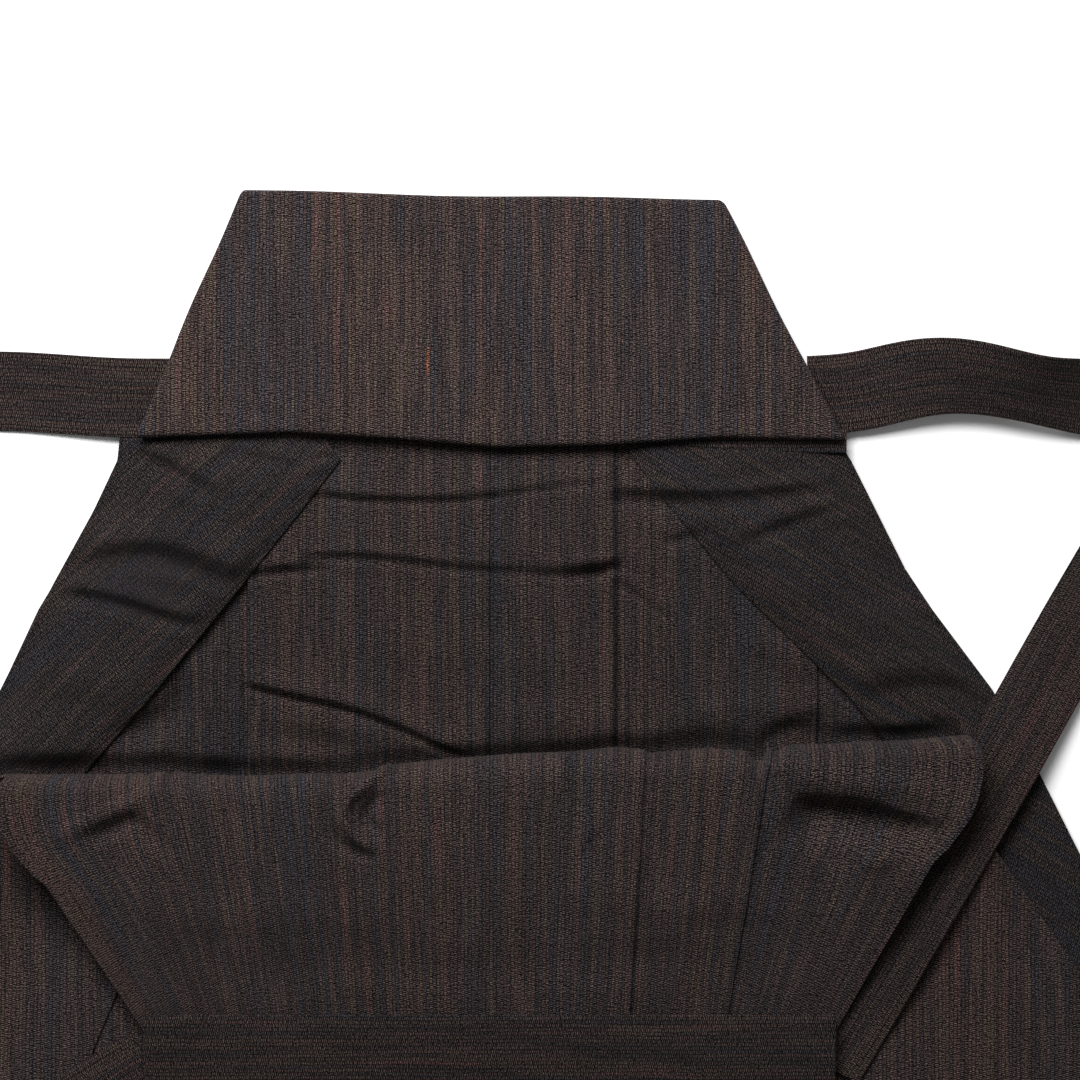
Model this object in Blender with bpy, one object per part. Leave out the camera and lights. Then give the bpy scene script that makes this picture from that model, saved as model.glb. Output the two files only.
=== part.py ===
"""Striped hakama trousers laid flat on their back, with the front waist turned down over itself.

The garment's own coordinates are in millimetres: X runs across it, Y from the hem up to the back
board, whose lower edge is at Y = 0, and Z is up from the surface that it lies on. The finished
pieces are moved together so that the middle of their footprint is at the world's origin.
"""

import math
from collections import namedtuple

import bmesh
import bpy
from mathutils import Vector

MM = 0.001

# Cloth and how its layers stack
BASE_CLOTH = 1.2
CLOTH = 1.0
TIE_CLOTH = 1.2
SEAM_GAP = 0.3
LAYER_GAP = 0.4
LAYER_STEP = CLOTH + LAYER_GAP

# Heights of the underside of each layer
PLEAT_LEVEL = BASE_CLOTH + LAYER_GAP
CENTRE_LEVEL = PLEAT_LEVEL + LAYER_STEP
FRONT_LEVEL = CENTRE_LEVEL + LAYER_STEP
BAND_LEVEL = CENTRE_LEVEL + 2 * LAYER_STEP

# Lengths along the garment
BACK_HEM = -880.0
FRONT_HEM = -872.0
CENTRE_TOP = 4.0
FLAP_TOP = 1.0
TURN_JOIN = -146.0

# Back board
BOARD_BOTTOM_HALF = 142.0
BOARD_TOP_LEFT = (-100.0, 100.8)
BOARD_TOP_RIGHT = (93.6, 97.2)
BOARD_THICKNESS = 4.5
BOARD_REST = BAND_LEVEL + LAYER_STEP + 0.2
BOARD_LENGTH = 100.0
BOARD_BEVEL = 1.2

# The turned-down front
ROLL_RADIUS = 10.5
ROLL_STEPS = 8
WAIST_TAPER = 0.32
TURN_DEPTH = 108.0
TURN_END = -239.0
CORE_HALF = 170.0
CORE_CLEARANCE = 1.2
CORE_GROOVE = 0.03

# Ties
BACK_TIE_WIDTH = 32.0
FRONT_TIE_WIDTH = 31.0
TIE_FOLD_RISE = 1.8
FOLD_STEPS = 4

Point = namedtuple("Point", "x y")
Section = namedtuple("Section", "y left right")
Ridge = namedtuple("Ridge", "y height half_width left right")
Rise = namedtuple("Rise", "back height")
Strip = namedtuple("Strip", "name layer widths crest_left crest_right")
Way = namedtuple("Way", "x y z lean fold")

# Outline of the back, from the board to the hem
BACK_OUTLINE = (
    Section(CENTRE_TOP, -149, 138),
    Section(FLAP_TOP, -149, 139),
    Section(-11, -150, 146),
    Section(-28, -158, 155),
    Section(-44, -171, 162),
    Section(-68, -182, 178),
    Section(-100, -197, 202),
    Section(-132, -212, 220),
    Section(-215, -254, 262),
    Section(-300, -298, 303),
    Section(-480, -312, 315),
    Section(-690, -324, 325),
    Section(BACK_HEM, -332, 332),
)
# Side allowances folded in along the slanted sides, from their inner edge to the fold
LEFT_FLAP = (
    Section(FLAP_TOP, -149, -66),
    Section(-8, -150, -60),
    Section(-28, -158, -75),
    Section(-58, -176, -99),
    Section(-102, -198, -135),
    Section(-134, -213, -163),
    Section(-180, -236, -200),
    Section(-230, -262, -241),
    Section(-284, -290, -285),
)
RIGHT_FLAP = (
    Section(FLAP_TOP, 53, 139),
    Section(-8, 58, 145),
    Section(-28, 73, 155),
    Section(-58, 98, 170),
    Section(-102, 143, 203),
    Section(-134, 170, 221),
    Section(-180, 206, 244),
    Section(-230, 245, 269),
    Section(-284, 287, 294),
)
LEFT_FLAP_RISE_FROM = -165.0
RIGHT_FLAP_RISE_FROM = 195.0
FLAP_RISE_WIDTH = 45.0
CENTRE_WIDTHS = (
    Section(CENTRE_TOP, -97, 50),
    Section(-134, -97, 50),
    Section(-300, -112, 58),
    Section(BACK_HEM, -160, 95),
)
PLEAT_LAYER = (
    Section(CENTRE_TOP, -85, 131),
    Section(-134, -85, 131),
    Section(-300, -100, 170),
    Section(BACK_HEM, -145, 215),
)
# Rows at which every upper back layer has its points, so that the layers follow each other
BACK_ROWS = (CENTRE_TOP, FLAP_TOP, -8, -18, -28, -38, -48, -58, -72, -86, -102, -118, -134) + (
    -180, -230, -284, -480)
# Soft ridges across the upper back
RIDGES = (
    Ridge(-38, 3.0, 20, -120, 150),
    Ridge(-86, 2.0, 30, -110, 120),
)
RIDGE_FADE = 40.0
# The roll's line towards the board
CREST_LINE = (
    Point(-210, -131),
    Point(-130, -130),
    Point(-58, -132),
    Point(0, -126.5),
    Point(62, -124),
    Point(103, -123),
    Point(138, -119),
    Point(200, -116),
)
# Lower edge of the board
BOARD_EDGE = (
    Point(-142, 1),
    Point(-81, 3),
    Point(-38, 0.5),
    Point(3, -3),
    Point(49, -2),
    Point(92, 1),
    Point(142, 0),
)
# Height of the turned-down front over its own lower run, behind the roll's crest
TURN_TOP = (
    Rise(22, 20.8),
    Rise(40, 19.6),
    Rise(60, 17.0),
    Rise(84, 13.0),
    Rise(TURN_DEPTH, 8.7),
)
CORE_BACK = (4.5, 12.0, 24.0, 44.0, 70.0, 104.0)
CORE_NOSE = 7.5
CORE_LEVELS = 7
CORE_COLUMNS = 13
# Front widths: five pleats, each over or under its neighbour, flaring from the roll to the hem
LEG_STATIONS = (TURN_JOIN, -300.0, FRONT_HEM)
FRONT_STRIPS = (
    Strip("1", 2, ((-203, -118), (-292, -182), (-326, -207)), -200, -118),
    Strip("2", 1, ((-126, -33), (-190, -54), (-215, -70)), -126, -33),
    Strip("3", 0, ((-41, 62), (-62, 72), (-78, 82)), -41, 62),
    Strip("4", 1, ((54, 112), (64, 168), (74, 220)), 54, 112),
    Strip("5", 2, ((105, 190), (160, 297), (212, 326)), 105, 186),
)
FRONT_ROWS = (TURN_JOIN - SEAM_GAP, -180, -230, -300, -360, -480, -690, FRONT_HEM)
# The outer two pleats sink away from the edge that lies on their neighbour: to the flaps, and lower
# to the backs
SINK_EDGE = 12.0
SINK_WIDTH = 36.0
SINK_TO_FLAPS = 4.0
SINK_TO_BACKS = 1.5
# Waistbands: the line of each, with the height of its underside
FRONT_BAND_HALF = 138.0
FRONT_BAND_ROWS = (Rise(-229, 16.5), Rise(-243, 14.6), Rise(-253, 12.6), Rise(-263, 10.6))
BAND_CLOTH = 2.0
BACK_BAND_EDGE = (Point(-140, 1), Point(60, 1), Point(70, -1.5), Point(112, -5), Point(143, -5))
BACK_BAND_COLUMNS = 15

# Routes of the ties over the surface: middle line, height of the underside, sideways lean and
# whether it folds back
BACK_TIE_LEFT = (
    Way(-128, 17, 2.8, 0, False),
    Way(-150, 17, 2.5, 0, False),
    Way(-170, 18.5, 1.0, 0, False),
    Way(-190, 20, 0, 0, False),
    Way(-240, 20, 0, 0, False),
    Way(-395, 23, 0, 0, True),
    Way(-228, 21, 1.8, 0, True),
    Way(-392, 26, 3.6, 0, True),
    Way(-292, 23, 5.4, 0, False),
)
BACK_TIE_RIGHT = (
    Way(128, 18, 2.8, 0, False),
    Way(148, 19, 3.2, 0, False),
    Way(161, 23, 5.0, 0, False),
    Way(176, 26, 6.5, 10, False),
    Way(190, 26, 6.5, 22, False),
    Way(204, 23, 6.2, 34, False),
    Way(218, 19.5, 6.5, 38, False),
    Way(240, 17, 2.5, 15, False),
    Way(262, 16, 0, 0, False),
    Way(395, 12, 0, 0, True),
    Way(256, 17, 1.8, 0, True),
    Way(392, 9, 3.6, 0, True),
    Way(270, 14, 5.4, 0, False),
)
FRONT_TIE_RIGHT = (
    Way(134, -250, 8.7, 0, False),
    Way(150, -223, 8.7, 0, False),
    Way(165, -197, 8.7, 0, False),
    Way(184.8, -163, 8.7, 0, False),
    Way(203.5, -131, 8.2, 0, False),
    Way(222, -99, 4.4, 0, False),
    Way(236, -75, 1.2, 0, False),
    Way(262, -31, 0, 0, True),
    Way(276, -85, 0, 0, False),
    Way(340, -330, 0, 0, False),
    Way(362, -450, 0, 0, False),
    Way(374, -600, 0, 0, False),
    Way(377, -838, 0, 0, True),
    Way(368, -600, 1.8, 0, False),
    Way(354, -440, 1.8, 0, False),
    Way(334, -318, 1.8, 0, False),
)
FRONT_TIE_LEFT = (
    Way(-136, -250, 8.7, 0, False),
    Way(-170, -271, 8.7, 0, False),
    Way(-205, -292, 8.7, 0, False),
    Way(-240, -313, 6.8, 0, False),
    Way(-272, -333, 4.8, 0, False),
    Way(-302, -355, 4.2, 0, False),
    Way(-328, -380, 3.2, 0, False),
    Way(-350, -412, 1.0, 0, False),
    Way(-365, -455, 0, 0, False),
    Way(-374, -520, 0, 0, False),
    Way(-379, -840, 0, 0, True),
    Way(-368, -500, 1.8, 0, False),
    Way(-350, -370, 1.8, 0, False),
    Way(-314, -240, 1.8, 0, True),
    Way(-348, -368, 3.6, 0, False),
    Way(-364, -478, 3.6, 0, False),
)


def between(table, key, value, where):
    """Column value of a table at key = where, straight between its rows, which may run either way."""
    rows = sorted(table, key=lambda row: getattr(row, key))
    if where <= getattr(rows[0], key):
        return getattr(rows[0], value)
    for low, high in zip(rows, rows[1:]):
        start, end = getattr(low, key), getattr(high, key)
        if where <= end:
            share = (where - start) / (end - start)
            return getattr(low, value) * (1 - share) + getattr(high, value) * share
    return getattr(rows[-1], value)


def smooth(share):
    """0 to 1 with soft ends."""
    share = min(max(share, 0.0), 1.0)
    return share * share * (3 - 2 * share)


def make_material(name, colour, roughness):
    material = bpy.data.materials.new(name)
    material.use_nodes = True
    shader = material.node_tree.nodes["Principled BSDF"]
    shader.inputs["Base Color"].default_value = (*colour, 1.0)
    shader.inputs["Roughness"].default_value = roughness
    shader.inputs["Metallic"].default_value = 0.0
    material.diffuse_color = (*colour, 1.0)
    return material


def block(name, corner, counts, material):
    """One closed solid: the outer faces of a box of points, placed by corner(i, j, k) in millimetres."""
    build = bmesh.new()
    points = {}

    def point(index):
        if index not in points:
            points[index] = build.verts.new(Vector(corner(*index)) * MM)
        return points[index]

    for axis in range(3):
        across, along = (axis + 1) % 3, (axis + 2) % 3
        for side in (0, counts[axis] - 1):
            for first in range(counts[across] - 1):
                for second in range(counts[along] - 1):
                    loop = []
                    for step_across, step_along in ((0, 0), (1, 0), (1, 1), (0, 1)):
                        index = [0, 0, 0]
                        index[axis] = side
                        index[across] = first + step_across
                        index[along] = second + step_along
                        loop.append(point(tuple(index)))
                    build.faces.new(loop)
    bmesh.ops.recalc_face_normals(build, faces=build.faces)
    mesh = bpy.data.meshes.new(name)
    build.to_mesh(mesh)
    build.free()
    mesh.materials.append(material)
    piece = bpy.data.objects.new(name, mesh)
    bpy.context.scene.collection.objects.link(piece)
    return piece


def panel(name, rows, outline, underside, thickness, columns, material):
    """A flat-laid panel, whose outline(y) gives its left and right edges and underside(x, y) its height."""

    def corner(column, row, side):
        y = rows[row]
        left, right = outline(y)
        x = left + (right - left) * column / (columns - 1)
        return x, y, underside(x, y) + thickness * side

    return block(name, corner, (columns, len(rows), 2), material)


def edges_of(sections):
    """The outline function of a table of sections."""
    return lambda y: (between(sections, "y", "left", y), between(sections, "y", "right", y))


def rows_within(rows, sections):
    """The shared rows that a piece reaches, with its own two ends."""
    top, end = max(row.y for row in sections), min(row.y for row in sections)
    inner = [row for row in rows if end < row < top]
    return [top] + inner + [end]


def swell(x, y):
    """How far the soft ridges lift the upper back at a point."""
    lift = 0.0
    for ridge in RIDGES:
        away = min(abs(y - ridge.y) / ridge.half_width, 1.0)
        fade = smooth((x - ridge.left) / RIDGE_FADE) * smooth((ridge.right - x) / RIDGE_FADE)
        lift += ridge.height * fade * (0.5 + 0.5 * math.cos(math.pi * away))
    return lift


def crest(x):
    return between(CREST_LINE, "x", "y", x)


def taper(back):
    """How much narrower the turned-down front is, this far behind the crest."""
    return 1 - WAIST_TAPER * back / TURN_DEPTH


def make_backs(cloth):
    """The left and right outer backs: the bottom layer, flat on the surface from the board to the hem."""
    rows = [section.y for section in BACK_OUTLINE]
    outline = edges_of(BACK_OUTLINE)
    panel("back_left", rows, lambda y: (outline(y)[0], -SEAM_GAP / 2), lambda x, y: 0.0, BASE_CLOTH, 4, cloth)
    panel("back_right", rows, lambda y: (SEAM_GAP / 2, outline(y)[1]), lambda x, y: 0.0, BASE_CLOTH, 4, cloth)


def make_back_pleats(cloth):
    """The pleat layer and the two centre widths that lie on it."""
    rows = rows_within(BACK_ROWS, CENTRE_WIDTHS)
    centre = edges_of(CENTRE_WIDTHS)
    panel(
        "back_pleat",
        rows,
        edges_of(PLEAT_LAYER),
        lambda x, y: PLEAT_LEVEL + swell(x, y),
        CLOTH,
        9,
        cloth,
    )
    for name, outline in (
        ("back_centre_left", lambda y: (centre(y)[0], -SEAM_GAP / 2)),
        ("back_centre_right", lambda y: (SEAM_GAP / 2, centre(y)[1])),
    ):
        panel(name, rows, outline, lambda x, y: CENTRE_LEVEL + swell(x, y), CLOTH, 6, cloth)


def make_flaps(cloth):
    """The side allowances folded in along the slanted sides, stepping up over the layers that they cover."""
    left_rise = FRONT_LEVEL - PLEAT_LEVEL
    right_rise = CENTRE_LEVEL - PLEAT_LEVEL

    def left_underside(x, y):
        return PLEAT_LEVEL + left_rise * smooth((x - LEFT_FLAP_RISE_FROM) / FLAP_RISE_WIDTH) + swell(x, y)

    def right_underside(x, y):
        return PLEAT_LEVEL + right_rise * smooth((RIGHT_FLAP_RISE_FROM - x) / FLAP_RISE_WIDTH) + swell(x, y)

    for name, flap, underside in (
        ("back_flap_left", LEFT_FLAP, left_underside),
        ("back_flap_right", RIGHT_FLAP, right_underside),
    ):
        panel(name, rows_within(BACK_ROWS, flap), edges_of(flap), underside, CLOTH, 6, cloth)


def make_board(cloth):
    """The stiff back board: its lower edge lies on the backs and its upper edge on the surface."""
    columns, rows = 9, 6

    def corner(column, row, side):
        share, rise = column / (columns - 1), row / (rows - 1)
        left = -BOARD_BOTTOM_HALF + (BOARD_TOP_LEFT[0] + BOARD_BOTTOM_HALF) * rise
        right = BOARD_BOTTOM_HALF + (BOARD_TOP_RIGHT[0] - BOARD_BOTTOM_HALF) * rise
        low = between(BOARD_EDGE, "x", "y", BOARD_BOTTOM_HALF * (2 * share - 1))
        high = BOARD_TOP_LEFT[1] + (BOARD_TOP_RIGHT[1] - BOARD_TOP_LEFT[1]) * share
        y = low + (high - low) * rise
        z = BOARD_REST * max(1 - max(y, 0) / BOARD_LENGTH, 0.0)
        return left + (right - left) * share, y, z + BOARD_THICKNESS * side

    board = block("koshi_ita", corner, (columns, rows, 2), cloth)
    bevel = board.modifiers.new("rounded edges", "BEVEL")
    bevel.width = BOARD_BEVEL * MM
    bevel.segments = 2
    bevel.limit_method = "ANGLE"
    bevel.angle_limit = math.radians(50)


def make_back_band(cloth):
    """The back waistband, whose lower edge looks out under the board at the right."""
    start, end = BACK_BAND_EDGE[0].x, BACK_BAND_EDGE[-1].x

    def corner(column, row, side):
        x = start + (end - start) * column / (BACK_BAND_COLUMNS - 1)
        low = between(BACK_BAND_EDGE, "x", "y", x)
        return x, low + (CENTRE_TOP - low) * row, BAND_LEVEL + CLOTH * side

    block("back_waist_band", corner, (BACK_BAND_COLUMNS, 2, 2), cloth)


def make_front_legs(cloth):
    """The five front pleats from under the roll to the hem."""
    for strip in FRONT_STRIPS:
        outline = edges_of([Section(y, *width) for y, width in zip(LEG_STATIONS, strip.widths)])
        outer = strip in (FRONT_STRIPS[0], FRONT_STRIPS[-1])
        inner_side = 1 if strip is FRONT_STRIPS[0] else 0

        def underside(x, y):
            level = FRONT_LEVEL + LAYER_STEP * strip.layer
            if not outer:
                return level
            away = smooth((abs(x - outline(y)[inner_side]) - SINK_EDGE) / SINK_WIDTH)
            to_flaps = SINK_TO_FLAPS * smooth((TURN_JOIN - y) / 60)
            return level - away * (to_flaps + SINK_TO_BACKS * smooth((-300 - y) / 60))

        panel("front_leg_" + strip.name, FRONT_ROWS, outline, underside, CLOTH, 7 if outer else 3, cloth)


def turn_path():
    """Stations of the turned-down front: distance behind the crest and height, from below to the top."""
    path = []
    for step in range(ROLL_STEPS + 1):
        angle = math.pi * (step / ROLL_STEPS - 0.5)
        path.append((ROLL_RADIUS * (1 - math.cos(angle)), ROLL_RADIUS * (1 + math.sin(angle))))
    return path + [(rise.back, rise.height) for rise in TURN_TOP]


def make_front_turns(cloth):
    """The same five pleats round the roll and back down to the front waistband, one inside the other."""
    path = turn_path()
    middle = FRONT_LEVEL + CLOTH / 2

    def station(x, step):
        """Place in (y, z) of the outermost wall's middle, with the distance behind the crest."""
        if step < 0:
            return TURN_JOIN, middle, 0.0
        back, height = path[step]
        stretch = (crest(x) - ROLL_RADIUS - TURN_END) / (TURN_DEPTH - ROLL_RADIUS)
        past = max(back - ROLL_RADIUS, 0.0) if step > ROLL_STEPS / 2 else 0.0
        y = crest(x) - back - past * (stretch - 1)
        return y, middle + height, back if step > ROLL_STEPS / 2 else 0.0

    for strip in FRONT_STRIPS:
        columns = 4

        def corner(column, row, side):
            x = strip.crest_left + (strip.crest_right - strip.crest_left) * column / (columns - 1)
            step = row - 1
            y, z, back = station(x, step)
            before = station(x, max(step - 1, -1))
            after = station(x, min(step + 1, len(path) - 1))
            run = Vector((after[0] - before[0], after[1] - before[1])).normalized()
            if step <= 0:
                run = Vector((1.0, 0.0))
            inward = strip.layer * LAYER_STEP + CLOTH * (side - 0.5)
            return x * taper(back), y - run.y * inward, z + run.x * inward

        block("front_turn_" + strip.name, corner, (columns, len(path) + 1, 2), cloth)


def make_core(cloth):
    """The layers hidden inside the roll, as one rounded solid whose ends show as layers."""
    floor = FRONT_LEVEL + 3 * LAYER_STEP
    heights = [Rise(0, 2 * ROLL_RADIUS)] + list(TURN_TOP)

    def corner(column, row, level):
        back = CORE_BACK[row]
        rise = level / (CORE_LEVELS - 1)
        share = 2 * column / (CORE_COLUMNS - 1) - 1
        groove = 1 - CORE_GROOVE * (level % 2)
        crest_x = CORE_HALF * share * groove
        top = between(heights, "back", "height", back) + CORE_CLEARANCE
        if row == 0:
            back += CORE_NOSE * (2 * rise - 1) ** 2
            top = 2 * ROLL_RADIUS + CORE_CLEARANCE
        return crest_x * taper(back), crest(crest_x) - back, floor + (top - floor) * rise

    block("fold_core", corner, (CORE_COLUMNS, len(CORE_BACK), CORE_LEVELS), cloth)


def make_front_band(cloth):
    """The front waistband, over the end of the turned-down front."""
    columns = 7

    def corner(column, row, side):
        x = FRONT_BAND_HALF * (2 * column / (columns - 1) - 1)
        rise = FRONT_BAND_ROWS[row]
        return x, rise.back, rise.height + BAND_CLOTH * side

    block("front_waist_band", corner, (columns, len(FRONT_BAND_ROWS), 2), cloth)


def left_of(direction):
    return Vector((-direction.y, direction.x, 0.0))


def fold_stations(corner_point, before, after, half_width, facing, rise):
    """Stations round a flat fold of a tie, which turns from one direction to the other and climbs by rise."""
    line = before + after
    line = line.normalized() if line.length > 0.01 else left_of(before)
    reach = line * (half_width / left_of(before).dot(line)) * facing
    outward = (before - line * before.dot(line)).normalized()
    stations = []
    for step in range(FOLD_STEPS + 1):
        angle = math.pi * step / FOLD_STEPS
        middle = corner_point + outward * math.sin(angle) * rise / 2
        middle.z += (1 - math.cos(angle)) * rise / 2
        normal = Vector((0, 0, math.cos(angle))) - outward * math.sin(angle)
        stations.append((middle, reach.copy(), normal * facing))
    return stations


def make_tie(name, route, width, cloth):
    """A flat tie along its route, folded over itself where the route says so."""
    half = width / 2
    facing = 1.0
    stations = []
    for index, way in enumerate(route):
        place = Vector((way.x, way.y, way.z + TIE_CLOTH / 2))
        last, following = route[max(index - 1, 0)], route[min(index + 1, len(route) - 1)]
        arriving = Vector((way.x - last.x, way.y - last.y, 0.0))
        leaving = Vector((following.x - way.x, following.y - way.y, 0.0))
        if way.fold:
            turned = arriving.normalized(), leaving.normalized()
            stations += fold_stations(place, *turned, half, facing, TIE_FOLD_RISE)
            facing = -facing
            continue
        along = (arriving.normalized() + leaving.normalized()).normalized()
        lean = math.radians(way.lean)
        side = left_of(along) * facing * math.cos(lean) + Vector((0, 0, math.sin(lean)))
        normal = Vector((0, 0, facing * math.cos(lean))) - left_of(along) * math.sin(lean)
        place.z += half * math.sin(lean)
        stations.append((place, side * half, normal))

    def corner(edge, step, side):
        middle, reach, normal = stations[step]
        return middle + reach * (1 - 2 * edge) + normal * TIE_CLOTH * (side - 0.5)

    return block(name, corner, (2, len(stations), 2), cloth)


def centre_on_origin(pieces):
    """Parents the pieces to one empty, moved so that the middle of their footprint is the origin."""
    bpy.context.view_layer.update()
    corners = [piece.matrix_world @ Vector(corner) for piece in pieces for corner in piece.bound_box]
    middle_x = (min(c.x for c in corners) + max(c.x for c in corners)) / 2
    middle_y = (min(c.y for c in corners) + max(c.y for c in corners)) / 2
    garment = bpy.data.objects.new("garment", None)
    bpy.context.scene.collection.objects.link(garment)
    garment.location = (-middle_x, -middle_y, 0.0)
    for piece in pieces:
        piece.parent = garment


def main():
    for thing in list(bpy.data.objects):
        bpy.data.objects.remove(thing)
    right_side = make_material("striped cloth", (0.045, 0.036, 0.035), 0.9)
    wrong_side = make_material("striped cloth, turned over", (0.030, 0.025, 0.026), 0.95)
    board_cloth = make_material("striped cloth on the board", (0.055, 0.043, 0.042), 0.9)
    tie_cloth = make_material("striped cloth of the ties", (0.040, 0.032, 0.032), 0.9)

    make_backs(right_side)
    make_back_pleats(right_side)
    make_flaps(wrong_side)
    make_front_legs(right_side)
    make_front_turns(right_side)
    make_core(right_side)
    make_front_band(right_side)
    make_back_band(right_side)
    make_board(board_cloth)
    make_tie("back_tie_left", BACK_TIE_LEFT, BACK_TIE_WIDTH, tie_cloth)
    make_tie("back_tie_right", BACK_TIE_RIGHT, BACK_TIE_WIDTH, tie_cloth)
    make_tie("front_tie_left", FRONT_TIE_LEFT, FRONT_TIE_WIDTH, tie_cloth)
    make_tie("front_tie_right", FRONT_TIE_RIGHT, FRONT_TIE_WIDTH, tie_cloth)
    centre_on_origin([thing for thing in bpy.data.objects if thing.type == "MESH"])


main()
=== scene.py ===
"""Looks of the striped hakama trousers, laid on their back with the front waist turned down.

Lengths in the tables are in millimetres in the garment's own coordinates: X runs across it, Y from
the hem up to the back board, whose lower edge is at Y = 0, and Z is up from the surface.
"""

import math
from collections import namedtuple

import bmesh
import bpy
import numpy as np
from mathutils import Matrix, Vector


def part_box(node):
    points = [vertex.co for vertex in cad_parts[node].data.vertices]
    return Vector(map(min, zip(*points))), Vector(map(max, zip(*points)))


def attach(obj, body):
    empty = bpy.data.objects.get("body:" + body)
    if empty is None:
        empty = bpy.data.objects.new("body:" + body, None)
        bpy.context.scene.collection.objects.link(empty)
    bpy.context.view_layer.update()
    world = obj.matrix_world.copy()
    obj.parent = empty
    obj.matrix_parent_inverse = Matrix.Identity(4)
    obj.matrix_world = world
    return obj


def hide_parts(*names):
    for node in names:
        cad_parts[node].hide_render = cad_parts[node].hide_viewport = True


bl_info = {
    "name": "Hakama trousers",
    "version": (1, 0, 0),
    "blender": (4, 5, 0),
    "location": "3D View > Sidebar > Hakama",
    "description": "Striped hakama trousers laid flat on their back, with the front waist turned down",
    "category": "Object",
}

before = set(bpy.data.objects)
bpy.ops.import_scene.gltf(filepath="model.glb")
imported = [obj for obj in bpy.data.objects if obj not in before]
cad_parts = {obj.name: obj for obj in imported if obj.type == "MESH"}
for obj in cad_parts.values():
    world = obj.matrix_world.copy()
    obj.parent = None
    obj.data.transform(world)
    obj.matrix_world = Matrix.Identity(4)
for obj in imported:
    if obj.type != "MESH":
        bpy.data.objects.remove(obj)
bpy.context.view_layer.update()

MM = 0.001
BODY = "root"
CHART = "cloth"

# Cloth and how its layers stack, as the solids have them
BASE_CLOTH = 1.2
CLOTH = 1.0
TIE_CLOTH = 1.2
BAND_CLOTH = 2.0
SEAM_GAP = 0.3
LAYER_STEP = 1.4
BASE_MIDDLE = 0.6
PLEAT_LEVEL = 1.6
CENTRE_LEVEL = 3.0
FRONT_LEVEL = 4.4
BAND_LEVEL = 5.8
BOARD_REST = 7.4

# Lengths along the garment
CENTRE_TOP = 4.0
FLAP_TOP = 1.0
TURN_JOIN = -146.0
BACK_HEM = -880.0
FRONT_HEM = -872.0
SIDE_SEAM_TOP = -300.0
FLAP_END = -284.0
# Above this line the points of the cloth lie closest together
CLOSE_END = -138.0

# The turned-down front
ROLL_RADIUS = 10.5
TURN_DEPTH = 108.0
TURN_END = -239.0
# Way along the cloth from where it joins the legs to where it starts to turn
LOWER_RUN = 12.0
ROLL_HALF_WIDTH = 190.0
ROLL_FALL = 9.5

# The hidden layers inside the roll: a block with grooved ends and a rounded nose. Its top stays under
# the turned-down front, and is deeper under the dent at that one's right-hand end
CORE_HALF = 170.0
CORE_CLEARANCE = 1.2
CORE_COUNTS = (41, 26, 31)
CORE_LAYERS = 5
CORE_GROOVE = 0.016
CORE_BULGE = 0.05
CORE_NOSE = 7.5
CORE_NOSE_ROWS = 6
CORE_NOSE_START = 3.0
CORE_SINK = 5.0
CORE_DENT = 10.5
CORE_DENT_FROM = 98.0
CORE_DENT_WIDTH = 24.0
CORE_LEAST = 1.0

# Points across the rounded edge of a cloth wall, as shares of its rim
RIM_STEPS = np.array([0.0, 0.08, 0.3, 0.62])
# Width of that edge as a share of the wall's thickness
RIM_SHARE = 0.6

# Angle of the warp from +X
WARP_UP = 90
WARP_ACROSS = 0
LEFT_FLAP_WARP = 42
RIGHT_FLAP_WARP = -31

Section = namedtuple("Section", "y left right")
Fold = namedtuple("Fold", "height above below points")
Strip = namedtuple("Strip", "name layer widths crest_left crest_right")
Way = namedtuple("Way", "x y z lean fold")
Run = namedtuple("Run", "piece points")

BACK_OUTLINE = (
    Section(CENTRE_TOP, -149, 138),
    Section(FLAP_TOP, -149, 139),
    Section(-11, -150, 146),
    Section(-28, -159.5, 155),
    Section(-44, -167.6, 162),
    Section(-68, -182, 178),
    Section(-100, -197, 202),
    Section(-132, -212, 220),
    Section(-215, -254, 262),
    Section(-300, -298, 303),
    Section(-480, -312, 315),
    Section(-690, -324, 325),
    Section(BACK_HEM, -332, 332),
)
LEFT_FLAP = (
    Section(FLAP_TOP, -149, -66),
    Section(-8, -150, -60),
    Section(-28, -159.5, -75),
    Section(-58, -176, -99),
    Section(-102, -198, -135),
    Section(-134, -213, -163),
    Section(-180, -236, -200),
    Section(-230, -262, -241),
    Section(-284, -290, -285),
)
RIGHT_FLAP = (
    Section(FLAP_TOP, 53, 139),
    Section(-8, 58, 145),
    Section(-28, 73, 155),
    Section(-58, 98, 170),
    Section(-102, 143, 203),
    Section(-134, 170, 221),
    Section(-180, 206, 244),
    Section(-230, 245, 269),
    Section(-284, 287, 294),
)
# Where the flaps start to climb over the layers beneath them
LEFT_FLAP_RISE_FROM = -165
RIGHT_FLAP_RISE_FROM = 195
FLAP_RISE_WIDTH = 45
CENTRE_WIDTHS = (
    Section(CENTRE_TOP, -97, 50),
    Section(-134, -97, 50),
    Section(-300, -112, 58),
    Section(BACK_HEM, -160, 95),
)
PLEAT_LAYER = (
    Section(CENTRE_TOP, -85, 131),
    Section(-134, -85, 131),
    Section(-300, -100, 170),
    Section(BACK_HEM, -145, 215),
)

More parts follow.
